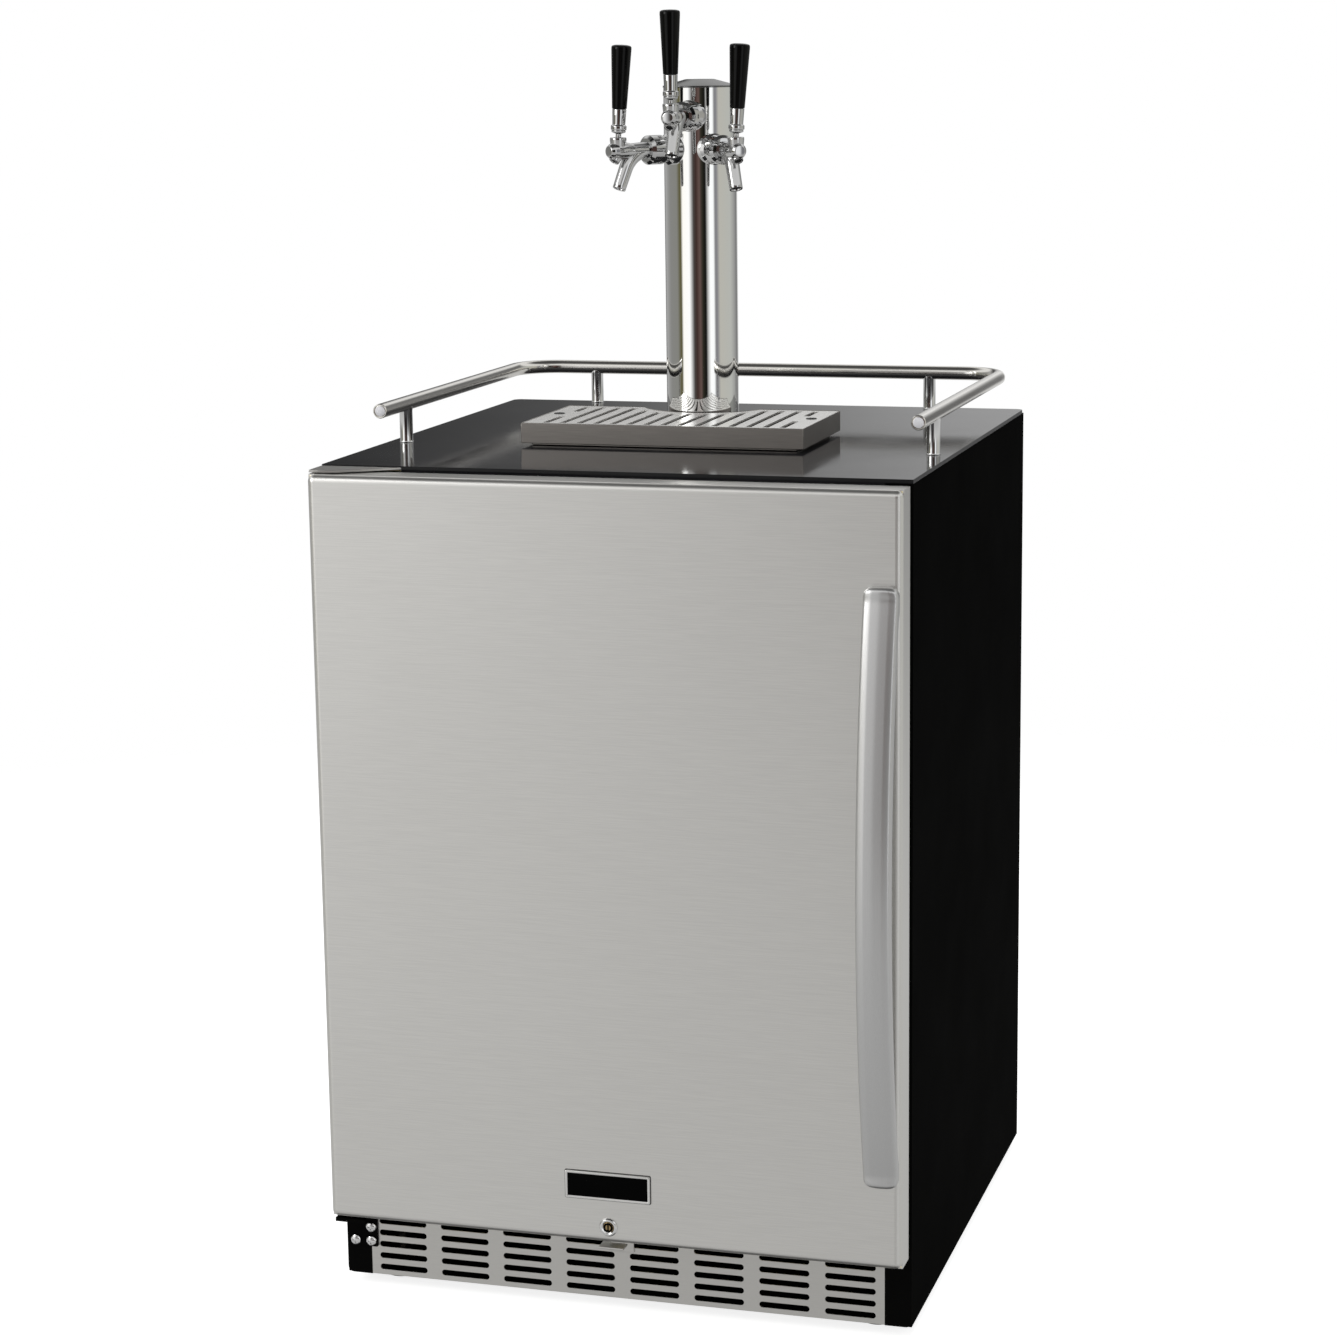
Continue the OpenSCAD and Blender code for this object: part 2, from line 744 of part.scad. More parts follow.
module hinge_bores(r) {
    rod([pivot_x, pivot_y, door_z0 - 1], "z", 17, r);
    rod([pivot_x, pivot_y, door_z1 - 16], "z", 17, r);
}

module door_skin() {
    r = door_round;
    color([0.72, 0.72, 0.7]) difference() {
        soft_box(door_x, door_front, door_rear, door_z0, door_z1, r);
        soft_box(door_x - skin_t, door_front + skin_t, door_rear + 1, door_z0 + skin_t,
            door_z1 - skin_t, r - skin_t);
        hinge_bores(pin_r + fit);
        rod([0, door_front - 1, lock_z], "y", 6, 8 + fit);
        block(-5.5, 27, cam_y - 2, cam_y + 4, door_z0 - 1, door_z0 + 3);
    }
}

module door_foam() {
    m = skin_t;
    color([0.9, 0.85, 0.6]) difference() {
        soft_box(door_x - m, door_front + m, door_rear - 2, door_z0 + m, door_z1 - m, door_round - m);
        hinge_bores(pin_r + 2);
        rod([0, door_front, lock_z], "y", 25, 8 + fit);
        rod([0, cam_y - 2, lock_z], "y", 6, 31);
    }
}

module door_liner() {
    color([0.86, 0.87, 0.87]) difference() {
        block(-door_x + skin_t, door_x - skin_t, door_rear - 2, door_rear, door_z0 + skin_t,
            door_z1 - skin_t);
        block(-door_x + 60, door_x - 60, door_rear - 0.8, door_rear + 1, door_z0 + 60, door_z1 - 60);
    }
}

module door_gasket() {
    gasket_x = -pivot_x - 1;
    gasket_w = 20;
    color([0.05, 0.05, 0.05]) difference() {
        block(-gasket_x, gasket_x, door_rear, front_y - 0.4, door_z0 + 14, door_z1 - 14);
        block(-gasket_x + gasket_w, gasket_x - gasket_w, door_rear - 1, front_y,
            door_z0 + 14 + gasket_w, door_z1 - 14 - gasket_w);
    }
}

module door_handle() {
    foot_len = 30;
    corner = 12;
    span = handle_len / 2 - corner;
    mid_y = front_y - door_reach + handle_t / 2;
    rise = door_front - handle_t / 2 - mid_y;
    bow_r = (pow(span, 2) + pow(rise, 2)) / (2 * rise);
    half = asin(span / bow_r);
    color([0.72, 0.72, 0.72]) translate([handle_x, 0, handle_z]) {
        translate([0, mid_y + bow_r, 0]) rotate([0, 90, 0]) rotate([0, 0, -90 - half])
            rotate_extrude(angle = 2 * half, $fn = 720) translate([bow_r, 0]) rotate([0, 0, 90])
                stadium(handle_w, handle_t, 48);
        for (s = [-1, 1]) translate([0, door_front, s * (handle_len / 2 - foot_len / 2)])
            rotate([90, 0, 0]) linear_extrude(handle_t) stadium_soft(foot_len, handle_w, corner);
    }
}

// Rectangle with rounded corners of radius r, centred
module stadium_soft(tall, wide, r) {
    square([wide - 2 * r, tall], center = true);
    square([wide, tall - 2 * r], center = true);
    for (sx = [-1, 1], sy = [-1, 1]) translate([sx * (wide / 2 - r), sy * (tall / 2 - r)]) circle(r);
}

module badge() {
    color([0.75, 0.75, 0.75]) translate([0, door_front, badge_z]) rotate([90, 0, 0]) difference() {
        linear_extrude(2.2) stadium_soft(28.5, 88, 1.5);
        translate([0, 0, 1.4]) linear_extrude(2) stadium_soft(24.5, 84, 0.8);
    }
}

module lock_body() {
    color([0.8, 0.8, 0.82]) difference() {
        union() {
            rod([0, door_front, lock_z], "y", 22, 8);
            translate([0, door_front, lock_z]) rotate([90, 0, 0]) cylinder(h = 2.4, r1 = lock_r, r2 = lock_r - 1);
        }
        rod([0, door_front - 5, lock_z], "y", 40, plug_r);
    }
}

module lock_plug() {
    cam_len = 28;
    color([0.8, 0.65, 0.35]) {
        difference() {
            rod([0, door_front - 1.8, lock_z], "y", cam_y - door_front + 3.8, plug_r - fit);
            block(-0.8, 0.8, door_front - 3, door_front + 6, lock_z - 3.2, lock_z + 3.2);
        }
        block(0, cam_len, cam_y, cam_y + 2, lock_z - 4, lock_z + 4);
    }
}

// ---- fans, dial and feet ----

module fan_blades(radius, hub_r, depth, count) {
    difference() {
        union() {
            cylinder(h = depth, r = hub_r);
            for (i = [0:count - 1]) rotate([0, 0, i * 360 / count])
                translate([hub_r - 2, 0, depth / 2]) rotate([35, 0, 0])
                    translate([0, -radius / 4, -1]) cube([radius - hub_r, radius / 2, 2]);
        }
        translate([0, 0, -1]) cylinder(h = depth - 1, r = 3 + fit);
    }
}

module condenser_fan() {
    color([0.15, 0.15, 0.16]) translate([shroud_x - 5, comp_y, shroud_z]) rotate([0, -90, 0])
        fan_blades(46, 16, 20, 5);
}

module circulation_fan() {
    color([0.2, 0.2, 0.2]) translate([fan_x, cooler_y + 10, cooler_z]) rotate([-90, 0, 0])
        fan_blades(38, 14, 20, 5);
}

module thermostat_knob() {
    color([0.15, 0.15, 0.16]) translate([dial_x, dial_y - 0.5, dial_z]) rotate([90, 0, 0]) difference() {
        union() {
            cylinder(h = 3, r = 15);
            cylinder(h = 12, r = 10);
            translate([-1.5, 8, 3]) cube([3, 5, 7]);
        }
        translate([0, 0, -1]) cylinder(h = 12.5, r = 3 + fit);
    }
}

module foot(s, y) {
    color([0.12, 0.12, 0.12]) translate([s * foot_x, y, 0]) {
        cylinder(h = 2, r1 = 18, r2 = 20);
        translate([0, 0, 2]) cylinder(h = 5, r = 20);
        translate([0, 0, 7]) cylinder(h = 3, r = 8, $fn = 6);
        cylinder(h = 42, r = pin_r);
    }
}

module foot_front_left() { foot(-1, foot_ys[0]); }

module foot_front_right() { foot(1, foot_ys[0]); }

module foot_rear_left() { foot(-1, foot_ys[1]); }

module foot_rear_right() { foot(1, foot_ys[1]); }

side_panel_left();
side_panel_right();
rear_panel();
worktop();
insulation();
inner_liner();
base_frame();
kick_grille();
machine_cover();
compressor();
condenser();
fan_shroud();
evaporation_pan();
refrigerant_lines();
power_inlet();
evaporator_cover();
thermostat_housing();
keg_plate();
guard_rail();
rail_posts();
tower_column();
tower_cap();
tap_shanks();
shank_flanges();
coupling_nuts();
faucet_left();
faucet_centre();
faucet_right();
hinge_bracket();
hinge_plate();
hinge_screws();
lock_strike();
co2_cylinder();
co2_valve();
co2_strap();
regulator();
door_skin();
door_foam();
door_liner();
door_gasket();
door_handle();
badge();
lock_body();
lock_plug();
tap_lever_left();
tap_lever_centre();
tap_lever_right();
tap_handle_left();
tap_handle_centre();
tap_handle_right();
drip_tray();
drip_grate();
condenser_fan();
circulation_fan();
valve_wheel();
thermostat_knob();
foot_front_left();
foot_front_right();
foot_rear_left();
foot_rear_right();
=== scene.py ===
"""Looks of a three-tap kegerator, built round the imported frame.

Shapes are drawn in millimetres; MM turns them into the frame's metres.
"""
import json
import math

import bmesh
import bpy
from mathutils import Matrix, Vector


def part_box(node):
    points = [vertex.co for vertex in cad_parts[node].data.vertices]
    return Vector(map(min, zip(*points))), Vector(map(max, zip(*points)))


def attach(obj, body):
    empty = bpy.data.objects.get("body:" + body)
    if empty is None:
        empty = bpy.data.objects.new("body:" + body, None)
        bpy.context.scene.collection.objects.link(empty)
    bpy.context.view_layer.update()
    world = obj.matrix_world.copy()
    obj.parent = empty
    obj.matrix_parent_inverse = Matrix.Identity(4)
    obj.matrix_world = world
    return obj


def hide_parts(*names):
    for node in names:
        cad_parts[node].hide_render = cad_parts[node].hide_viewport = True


MM = 0.001
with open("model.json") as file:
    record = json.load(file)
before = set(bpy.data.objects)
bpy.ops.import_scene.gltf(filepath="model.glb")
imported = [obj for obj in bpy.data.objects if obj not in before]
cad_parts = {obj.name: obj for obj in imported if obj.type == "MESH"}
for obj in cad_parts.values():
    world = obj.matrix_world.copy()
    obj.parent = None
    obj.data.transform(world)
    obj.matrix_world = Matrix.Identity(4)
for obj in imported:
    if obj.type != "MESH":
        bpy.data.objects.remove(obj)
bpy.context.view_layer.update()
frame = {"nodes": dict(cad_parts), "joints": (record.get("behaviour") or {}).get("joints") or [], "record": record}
nodes = frame["nodes"]
scene = bpy.context.scene
BODY = {n: b for b, ns in frame["record"]["behaviour"]["bodies"].items() for n in ns}


# ---------------------------------------------------------------- materials

class Paint:
    """One material: a Principled shader with procedural colour, roughness and bump."""

    def __init__(self, name, colour, metallic=0.0, roughness=0.5, **sockets):
        self.mat = bpy.data.materials.new(name)
        self.mat.use_nodes = True
        self.tree = self.mat.node_tree
        self.bsdf = self.tree.nodes["Principled BSDF"]
        self.colour = (*colour, 1.0)
        self.height = None
        self.set("Base Color", self.colour)
        self.set("Metallic", metallic)
        self.set("Roughness", roughness)
        for key, value in sockets.items():
            self.set(key.replace("_", " "), value)
        self.coords = self.tree.nodes.new("ShaderNodeTexCoord").outputs["Object"]
        self.mat.diffuse_color = self.colour

    def set(self, socket, value):
        self.bsdf.inputs[socket].default_value = value

    def link(self, out, to):
        self.tree.links.new(out, to)

    def noise(self, scale, stretch=(1, 1, 1), detail=3.0, rough=0.55):
        """A noise field: scale in features per metre, stretch lengthens it along an axis."""
        move = self.tree.nodes.new("ShaderNodeMapping")
        move.inputs["Scale"].default_value = [1.0 / s for s in stretch]
        self.link(self.coords, move.inputs["Vector"])
        field = self.tree.nodes.new("ShaderNodeTexNoise")
        field.inputs["Scale"].default_value = scale
        field.inputs["Detail"].default_value = detail
        field.inputs["Roughness"].default_value = rough
        self.link(move.outputs["Vector"], field.inputs["Vector"])
        return field.outputs["Fac"]

    def cells(self, scale):
        """Distance from the middle of the nearest cell, with scale cells per metre."""
        field = self.tree.nodes.new("ShaderNodeTexVoronoi")
        field.inputs["Scale"].default_value = scale
        self.link(self.coords, field.inputs["Vector"])
        return field.outputs["Distance"]

    def spread(self, field, low, high, start=0.3, stop=0.7):
        """Maps a field's range from start to stop onto low to high."""
        span = self.tree.nodes.new("ShaderNodeMapRange")
        for key, value in (("From Min", start), ("From Max", stop), ("To Min", low), ("To Max", high)):
            span.inputs[key].default_value = value
        self.link(field, span.inputs["Value"])
        return span.outputs["Result"]

    def tint(self, field, other):
        """Base colour runs from the paint's own colour to the other where the field is high."""
        ramp = self.tree.nodes.new("ShaderNodeValToRGB")
        ramp.color_ramp.elements[0].position = 0.35
        ramp.color_ramp.elements[0].color = self.colour
        ramp.color_ramp.elements[1].position = 0.65
        ramp.color_ramp.elements[1].color = (*other, 1.0)
        self.link(field, ramp.inputs["Fac"])
        self.link(ramp.outputs["Color"], self.bsdf.inputs["Base Color"])
        return self

    def gloss(self, field, low, high):
        """Roughness runs from low to high with the field."""
        self.link(self.spread(field, low, high), self.bsdf.inputs["Roughness"])
        return self

    def bump(self, field, depth, strength=0.5):
        """Adds relief of the given depth in metres."""
        node = self.tree.nodes.new("ShaderNodeBump")
        node.inputs["Strength"].default_value = strength
        node.inputs["Distance"].default_value = depth
        self.link(field, node.inputs["Height"])
        if self.height is not None:
            self.link(self.height, node.inputs["Normal"])
        self.height = node.outputs["Normal"]
        self.link(self.height, self.bsdf.inputs["Normal"])
        return self


def brushed(name, colour, roughness, along, depth=2e-6, dark=0.93, metallic=1.0):
    """Satin metal with drawn grain along one axis and faint clouding."""
    p = Paint(name, colour, metallic=metallic, roughness=roughness)
    stretch = [90 if axis == along else 1 for axis in "XYZ"]
    grain = p.noise(2600, stretch, detail=2.0, rough=0.6)
    cloud = p.noise(3.5, detail=2.0)
    p.tint(grain, [c * dark for c in colour])
    p.gloss(cloud, roughness - 0.03, roughness + 0.03)
    p.bump(grain, depth, 0.35)
    return p


def powder(name, colour, roughness, grain=1400, depth=1.2e-5, lift=1.12, **sockets):
    """Painted or moulded surface with a fine pebbled skin."""
    p = Paint(name, colour, roughness=roughness, **sockets)
    skin = p.noise(grain, detail=2.0)
    p.bump(skin, depth, 0.4)
    p.gloss(p.noise(9, detail=3.0), roughness - 0.04, roughness + 0.05)
    p.tint(p.noise(12, detail=3.0), [min(1.0, c * lift) for c in colour])
    return p


door_steel = brushed("door_steel", (0.82, 0.812, 0.787), 0.34, "X", depth=1.5e-6)
tray_steel = brushed("tray_steel", (0.92, 0.91, 0.89), 0.26, "Y", depth=3e-6, dark=0.88, metallic=0.6)
# the drip tray's front is stainless like its grate, given a darker, browner colour: painted shade
tray_face_shaded = brushed("tray_face_shaded", (0.39, 0.365, 0.34), 0.3, "X", depth=3e-6, dark=0.8)
grille_steel = brushed("grille_steel", (0.67, 0.66, 0.635), 0.33, "X", depth=2e-6)
badge_steel = brushed("badge_steel", (0.88, 0.875, 0.86), 0.3, "X", depth=1e-6, dark=0.95)
lock_bronze = brushed("lock_bronze", (0.42, 0.31, 0.16), 0.3, "X", depth=1e-6)
# the tower cap is stainless; its near-black colour is painted shade
cap_shaded_steel = brushed("cap_shaded_steel", (0.2, 0.2, 0.2), 0.2, "X", depth=3e-6, dark=0.86)
rail_steel = brushed("rail_steel", (0.86, 0.84, 0.80), 0.15, "Y", depth=1e-6)
handle_alu = brushed("handle_alu", (0.68, 0.68, 0.68), 0.36, "Z", depth=2e-6, dark=0.95)
tank_alu = brushed("tank_alu", (0.70, 0.71, 0.72), 0.3, "X", depth=3e-6)


def plated(name, grey):
    """Polished plating with a very slight ripple."""
    p = Paint(name, (grey, grey, grey), metallic=1.0, roughness=0.05)
    p.gloss(p.noise(60, detail=4.0), 0.03, 0.07)
    p.bump(p.noise(110, detail=1.0), 6e-6, 0.15)
    return p


chrome = plated("chrome", 0.8)
# the taps' plating is the same chrome with a darker colour: painted shade
tap_shaded_plating = plated("tap_shaded_plating", 0.62)
column_chrome = Paint("column_chrome", (0.86, 0.86, 0.85), metallic=1.0, roughness=0.045)
column_chrome.gloss(column_chrome.noise(25, (1, 1, 6), detail=4.0), 0.02, 0.045)

brass = Paint("brass", (0.78, 0.57, 0.28), metallic=1.0, roughness=0.3)
brass.tint(brass.noise(70, detail=4.0), (0.66, 0.46, 0.22)).gloss(brass.noise(45), 0.22, 0.4)
copper = Paint("copper", (0.80, 0.42, 0.27), metallic=1.0, roughness=0.33)
copper.tint(copper.noise(60, detail=4.0), (0.55, 0.26, 0.16)).gloss(copper.noise(35), 0.25, 0.45)
fins = Paint("fins", (0.66, 0.66, 0.67), metallic=1.0, roughness=0.4)
fins.tint(fins.noise(90, detail=4.0), (0.5, 0.48, 0.46)).bump(fins.noise(400, (1, 1, 12)), 3e-5, 0.4)

worktop_black = Paint("worktop_black", (0.005, 0.005, 0.006), roughness=0.09, IOR=1.34)
worktop_black.gloss(worktop_black.noise(14, detail=4.0), 0.07, 0.12)
worktop_black.bump(worktop_black.noise(230, detail=1.0), 5e-6, 0.12)
worktop_black.tint(worktop_black.noise(6, detail=5.0), (0.011, 0.011, 0.012))

black_sheet = powder("black_sheet", (0.0024, 0.0024, 0.0023), 0.55, IOR=1.015)
black_plastic = powder("black_plastic", (0.018, 0.018, 0.019), 0.42, grain=900)
black_iron = powder("black_iron", (0.012, 0.012, 0.013), 0.3, grain=300, depth=4e-5)
gloss_black = Paint("gloss_black", (0.0015, 0.0015, 0.0015), roughness=0.1, IOR=1.24)
gloss_black.gloss(gloss_black.noise(80, detail=3.0), 0.08, 0.16)
badge_black = Paint("badge_black", (0.001, 0.001, 0.001), roughness=0.12, IOR=1.08)
badge_black.gloss(badge_black.noise(60, detail=3.0), 0.1, 0.16)
rubber = powder("rubber", (0.02, 0.02, 0.02), 0.62, grain=700, depth=2e-5)
liner_plastic = powder("liner_plastic", (0.74, 0.75, 0.75), 0.32, grain=600, depth=1.5e-5, lift=1.03)
cover_plastic = powder("cover_plastic", (0.8, 0.81, 0.81), 0.36, grain=800, depth=1.5e-5, lift=1.03)
enamel = powder("enamel", (0.82, 0.82, 0.8), 0.25, grain=500, depth=4e-6, lift=1.02)
needle_red = powder("needle_red", (0.5, 0.03, 0.02), 0.4)
foam = Paint("foam", (0.83, 0.74, 0.47), roughness=0.95)
foam.tint(foam.noise(30, detail=4.0), (0.70, 0.58, 0.33)).bump(foam.cells(900), 4e-4, 0.7)
plug_grey = powder("plug_grey", (0.7, 0.7, 0.73), 0.45, grain=1800, lift=1.03)
# painted shade: near-black discs set inside bores and holes, where there is only their shade
painted_hole_shade = powder("painted_hole_shade", (0.004, 0.004, 0.004), 0.8, grain=500)

LOOKS = {
    "side_panel_left": black_sheet, "side_panel_right": black_sheet, "rear_panel": black_sheet,
    "worktop": worktop_black, "insulation": foam, "inner_liner": liner_plastic,
    "base_frame": black_sheet, "kick_grille": grille_steel, "machine_cover": black_sheet,
    "compressor": black_iron, "condenser": fins, "fan_shroud": black_plastic,
    "evaporation_pan": black_plastic, "refrigerant_lines": copper, "power_inlet": black_plastic,
    "evaporator_cover": cover_plastic, "thermostat_housing": cover_plastic, "keg_plate": grille_steel,
    "guard_rail": rail_steel, "rail_posts": chrome, "tower_column": column_chrome,
    "tower_cap": cap_shaded_steel, "tap_shanks": chrome, "shank_flanges": tap_shaded_plating, "coupling_nuts": tap_shaded_plating,
    "faucet_left": tap_shaded_plating, "faucet_centre": tap_shaded_plating, "faucet_right": tap_shaded_plating,
    "hinge_bracket": black_sheet, "hinge_plate": grille_steel, "hinge_screws": chrome,
    "lock_strike": grille_steel, "co2_cylinder": tank_alu, "co2_valve": brass,
    "co2_strap": black_plastic, "regulator": brass, "door_skin": door_steel, "door_foam": foam,
    "door_liner": liner_plastic, "door_gasket": rubber, "door_handle": handle_alu,
    "badge": chrome, "lock_body": chrome, "lock_plug": lock_bronze,
    "tap_lever_left": tap_shaded_plating, "tap_lever_centre": tap_shaded_plating, "tap_lever_right": tap_shaded_plating,
    "tap_handle_left": gloss_black, "tap_handle_centre": gloss_black, "tap_handle_right": gloss_black,
    "drip_tray": tray_face_shaded, "drip_grate": tray_steel, "condenser_fan": black_plastic,
    "circulation_fan": black_plastic, "valve_wheel": black_plastic, "thermostat_knob": black_plastic,
    "foot_front_left": black_plastic, "foot_front_right": black_plastic,
    "foot_rear_left": black_plastic, "foot_rear_right": black_plastic,
}
for name, obj in nodes.items():
    obj.data.materials.clear()
    obj.data.materials.append(LOOKS[name].mat)

# ---------------------------------------------------------------- mesh tools, all in millimetres

def fillet(points, closed=False, steps=5):
    """Polyline with rounded corners: each point is (a, b) or (a, b, radius)."""
    made, count = [], len(points)
    for i, p in enumerate(points):
        here, radius = Vector(p[:2]), (p[2] if len(p) > 2 else 0)
        if not radius or (not closed and i in (0, count - 1)):
            made.append(tuple(here))
            continue
        to_a, to_b = Vector(points[i - 1][:2]) - here, Vector(points[(i + 1) % count][:2]) - here
        half = to_a.angle(to_b) / 2
        if half > math.radians(88):
            made.append(tuple(here))
            continue
        cut = min(radius / math.tan(half), 0.495 * to_a.length, 0.495 * to_b.length)
        a, b = to_a.normalized(), to_b.normalized()
        centre = here + (a + b).normalized() * cut / math.cos(half)
        first, last = here + a * cut - centre, here + b * cut - centre
        start = math.atan2(first.y, first.x)
        sweep = math.atan2(first.x * last.y - first.y * last.x, first.dot(last))
        for k in range(steps + 1):
            at = start + sweep * k / steps
            made.append((centre.x + first.length * math.cos(at), centre.y + first.length * math.sin(at)))
    return made


def basis(axis, ref=None):
    """Two directions square to an axis, the first as near to ref as it can be."""
    axis = Vector(axis).normalized()
    ref = Vector(ref) if ref else (Vector((0, 0, 1)) if abs(axis.z) < 0.9 else Vector((1, 0, 0)))
    one = (ref - axis * ref.dot(axis)).normalized()
    return one, axis.cross(one)


def hoop(centre, one, two, radius, count):
    """Points of a circle in the plane of two directions."""
    turns = (2 * math.pi * k / count for k in range(count))
    return [centre + (one * math.cos(t) + two * math.sin(t)) * radius for t in turns]


class Shape:
    """Collects closed shells of one piece."""

    def __init__(self):
        self.bm = bmesh.new()
        self.index = 0

    def ring(self, points):
        return [self.bm.verts.new(Vector(p) * MM) for p in points]

    def face(self, verts):
        self.bm.faces.new(verts).material_index = self.index

    def bridge(self, a, b):
        """Joins two equal closed rings with a band of faces."""
        n = len(a)
        for i in range(n):
            j = (i + 1) % n
            self.face((a[i], a[j], b[j], b[i]))

    def cap(self, ring, flip=False):
        self.face(list(reversed(ring)) if flip else ring)

    def lathe(self, profile, origin=(0, 0, 0), axis=(0, 0, 1), segments=64, closed=False):
        """Turns (radius, height) points round an axis; a radius of 0 ends the shell in a point."""
        origin, axis = Vector(origin), Vector(axis).normalized()
        one, two = basis(axis)
        rings = []
        for r, h in profile:
            if r < 1e-6:
                rings.append([self.bm.verts.new((origin + axis * h) * MM)])
                continue
            rings.append(self.ring(hoop(origin + axis * h, one, two, r, segments)))
        pairs = list(zip(rings, rings[1:])) + ([(rings[-1], rings[0])] if closed else [])
        for a, b in pairs:
            if len(a) == 1 and len(b) > 1:
                for i in range(segments):
                    self.face((a[0], b[(i + 1) % segments], b[i]))
            elif len(b) == 1 and len(a) > 1:
                for i in range(segments):
                    self.face((a[i], a[(i + 1) % segments], b[0]))
            elif len(a) > 1:
                self.bridge(a, b)
        return self

    def loft(self, rings):
        """Skins a list of equal closed rings and caps both ends."""
        made = [self.ring(r) for r in rings]
        for a, b in zip(made, made[1:]):
            self.bridge(a, b)
        self.cap(made[0], flip=True)
        self.cap(made[-1])
        return self

    def prism(self, outline, low, high, place, soft):
        """Extrudes a closed (a, b) outline from low to high, with the top edge rounded by soft.

        place maps (a, b, h) to a point.
        """
        levels = [(0.0, low)]
        for t in (0, math.pi / 6, math.pi / 3, math.pi / 2):
            levels.append((soft * (1 - math.cos(t)), high - soft + soft * math.sin(t)))
        return self.loft([[place(a, b, h) for a, b in shrink(outline, inset)] for inset, h in levels])

    def done(self, name, body, paints, slot, angle=38, hides=()):
        """Makes the object with its paints on its body and hides the CAD nodes it stands in for; slot is not used.
        """
        bmesh.ops.recalc_face_normals(self.bm, faces=self.bm.faces)
        mesh = bpy.data.meshes.new(name)
        self.bm.to_mesh(mesh)
        self.bm.free()
        for paint in (paints if isinstance(paints, (list, tuple)) else [paints]):
            mesh.materials.append(paint.mat)
        for polygon in mesh.polygons:
            polygon.use_smooth = True
        mesh.set_sharp_from_angle(angle=math.radians(angle))
        obj = bpy.data.objects.new(name, mesh)
        scene.collection.objects.link(obj)
        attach(obj, body)
        if hides:
            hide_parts(*hides)


def shrink(outline, inset):
    """Moves a closed counter-clockwise outline inwards."""
    if not inset:
        return [tuple(p[:2]) for p in outline]
    made, n = [], len(outline)
    for i, p in enumerate(outline):
        a, b = Vector(outline[i - 1][:2]), Vector(outline[(i + 1) % n][:2])
        here = Vector(p[:2])
        d1, d2 = (here - a), (b - here)
        d1 = d1.normalized() if d1.length > 1e-9 else d2.normalized()
        d2 = d2.normalized() if d2.length > 1e-9 else d1
        n1, n2 = Vector((-d1.y, d1.x)), Vector((-d2.y, d2.x))
        mid = (n1 + n2).normalized()
        reach = inset / max(0.3, mid.dot(n1))
        made.append(tuple(here + mid * reach))
    return made


def box_outline(x0, x1, y0, y1, r, steps=6):
    return fillet([(x0, y0, r), (x1, y0, r), (x1, y1, r), (x0, y1, r)], closed=True, steps=steps)


def soften(node, width):
    """Shows a CAD node's mesh with its triangles joined into faces and its edges rounded."""
    edge_angle = math.radians(33)
    bm = bmesh.new()
    bm.from_mesh(nodes[node].data)
    bmesh.ops.remove_doubles(bm, verts=bm.verts, dist=3e-6)
    bmesh.ops.dissolve_limit(bm, angle_limit=math.radians(0.6), verts=bm.verts, edges=bm.edges)
    mesh = bpy.data.meshes.new(node + "_soft")
    bm.to_mesh(mesh)
    bm.free()
    if "custom_normal" in mesh.attributes:
        mesh.attributes.remove(mesh.attributes["custom_normal"])
    mesh.materials.clear()
    mesh.materials.append(LOOKS[node].mat)
    for polygon in mesh.polygons:
        polygon.use_smooth = True
    mesh.set_sharp_from_angle(angle=edge_angle)
    obj = bpy.data.objects.new(node + "_soft", mesh)
    scene.collection.objects.link(obj)
    bevel = obj.modifiers.new("edges", "BEVEL")
    bevel.width = width * MM
    bevel.segments = 2
    bevel.limit_method = "ANGLE"
    bevel.angle_limit = edge_angle
    bevel.use_clamp_overlap = True
    weigh = obj.modifiers.new("shade", "WEIGHTED_NORMAL")
    weigh.keep_sharp = True
    weigh.weight = 60
    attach(obj, BODY[node])
    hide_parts(node)


# ---------------------------------------------------------------- places taken from the frame

JOINT = {j["name"]: j for j in frame["joints"]}


def span(node):
    """A CAD node's box in millimetres: x0, y0, z0, x1, y1, z1."""
    low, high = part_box(node)
    return [c / MM for c in low] + [c / MM for c in high]


def ball(radius, low, high):
    """Profile points of a sphere centred at height 0, between two angles above the equator."""
    turns = [math.radians(low + (high - low) * k / 10) for k in range(11)]
    return [(max(0.0, radius * math.cos(t)), radius * math.sin(t)) for t in turns]


col = span("tower_column")
COLUMN = Vector(((col[0] + col[3]) / 2, (col[1] + col[4]) / 2, 0))
TOP = span("worktop")[5]

# ---------------------------------------------------------------- sheet parts with softened edges

for name, width in (
    ("worktop", 1.1), ("side_panel_left", 0.5), ("side_panel_right", 0.5), ("rear_panel", 0.4),
    ("kick_grille", 0.3), ("machine_cover", 0.4), ("hinge_bracket", 0.6), ("hinge_plate", 0.5),
    ("lock_strike", 0.4), ("drip_tray", 0.7), ("drip_grate", 0.45), ("coupling_nuts", 0.35),
    ("shank_flanges", 0.4), ("inner_liner", 1.6), ("door_liner", 1.2), ("evaporator_cover", 1.2),
    ("thermostat_housing", 2.0), ("keg_plate", 0.5), ("evaporation_pan", 0.8), ("power_inlet", 0.8),
    ("fan_shroud", 0.6), ("base_frame", 0.4), ("valve_wheel", 1.2), ("co2_strap", 0.6),
    ("condenser_fan", 0.5), ("circulation_fan", 0.5), ("compressor", 1.5),
):
    soften(name, width)

# ---------------------------------------------------------------- door handle

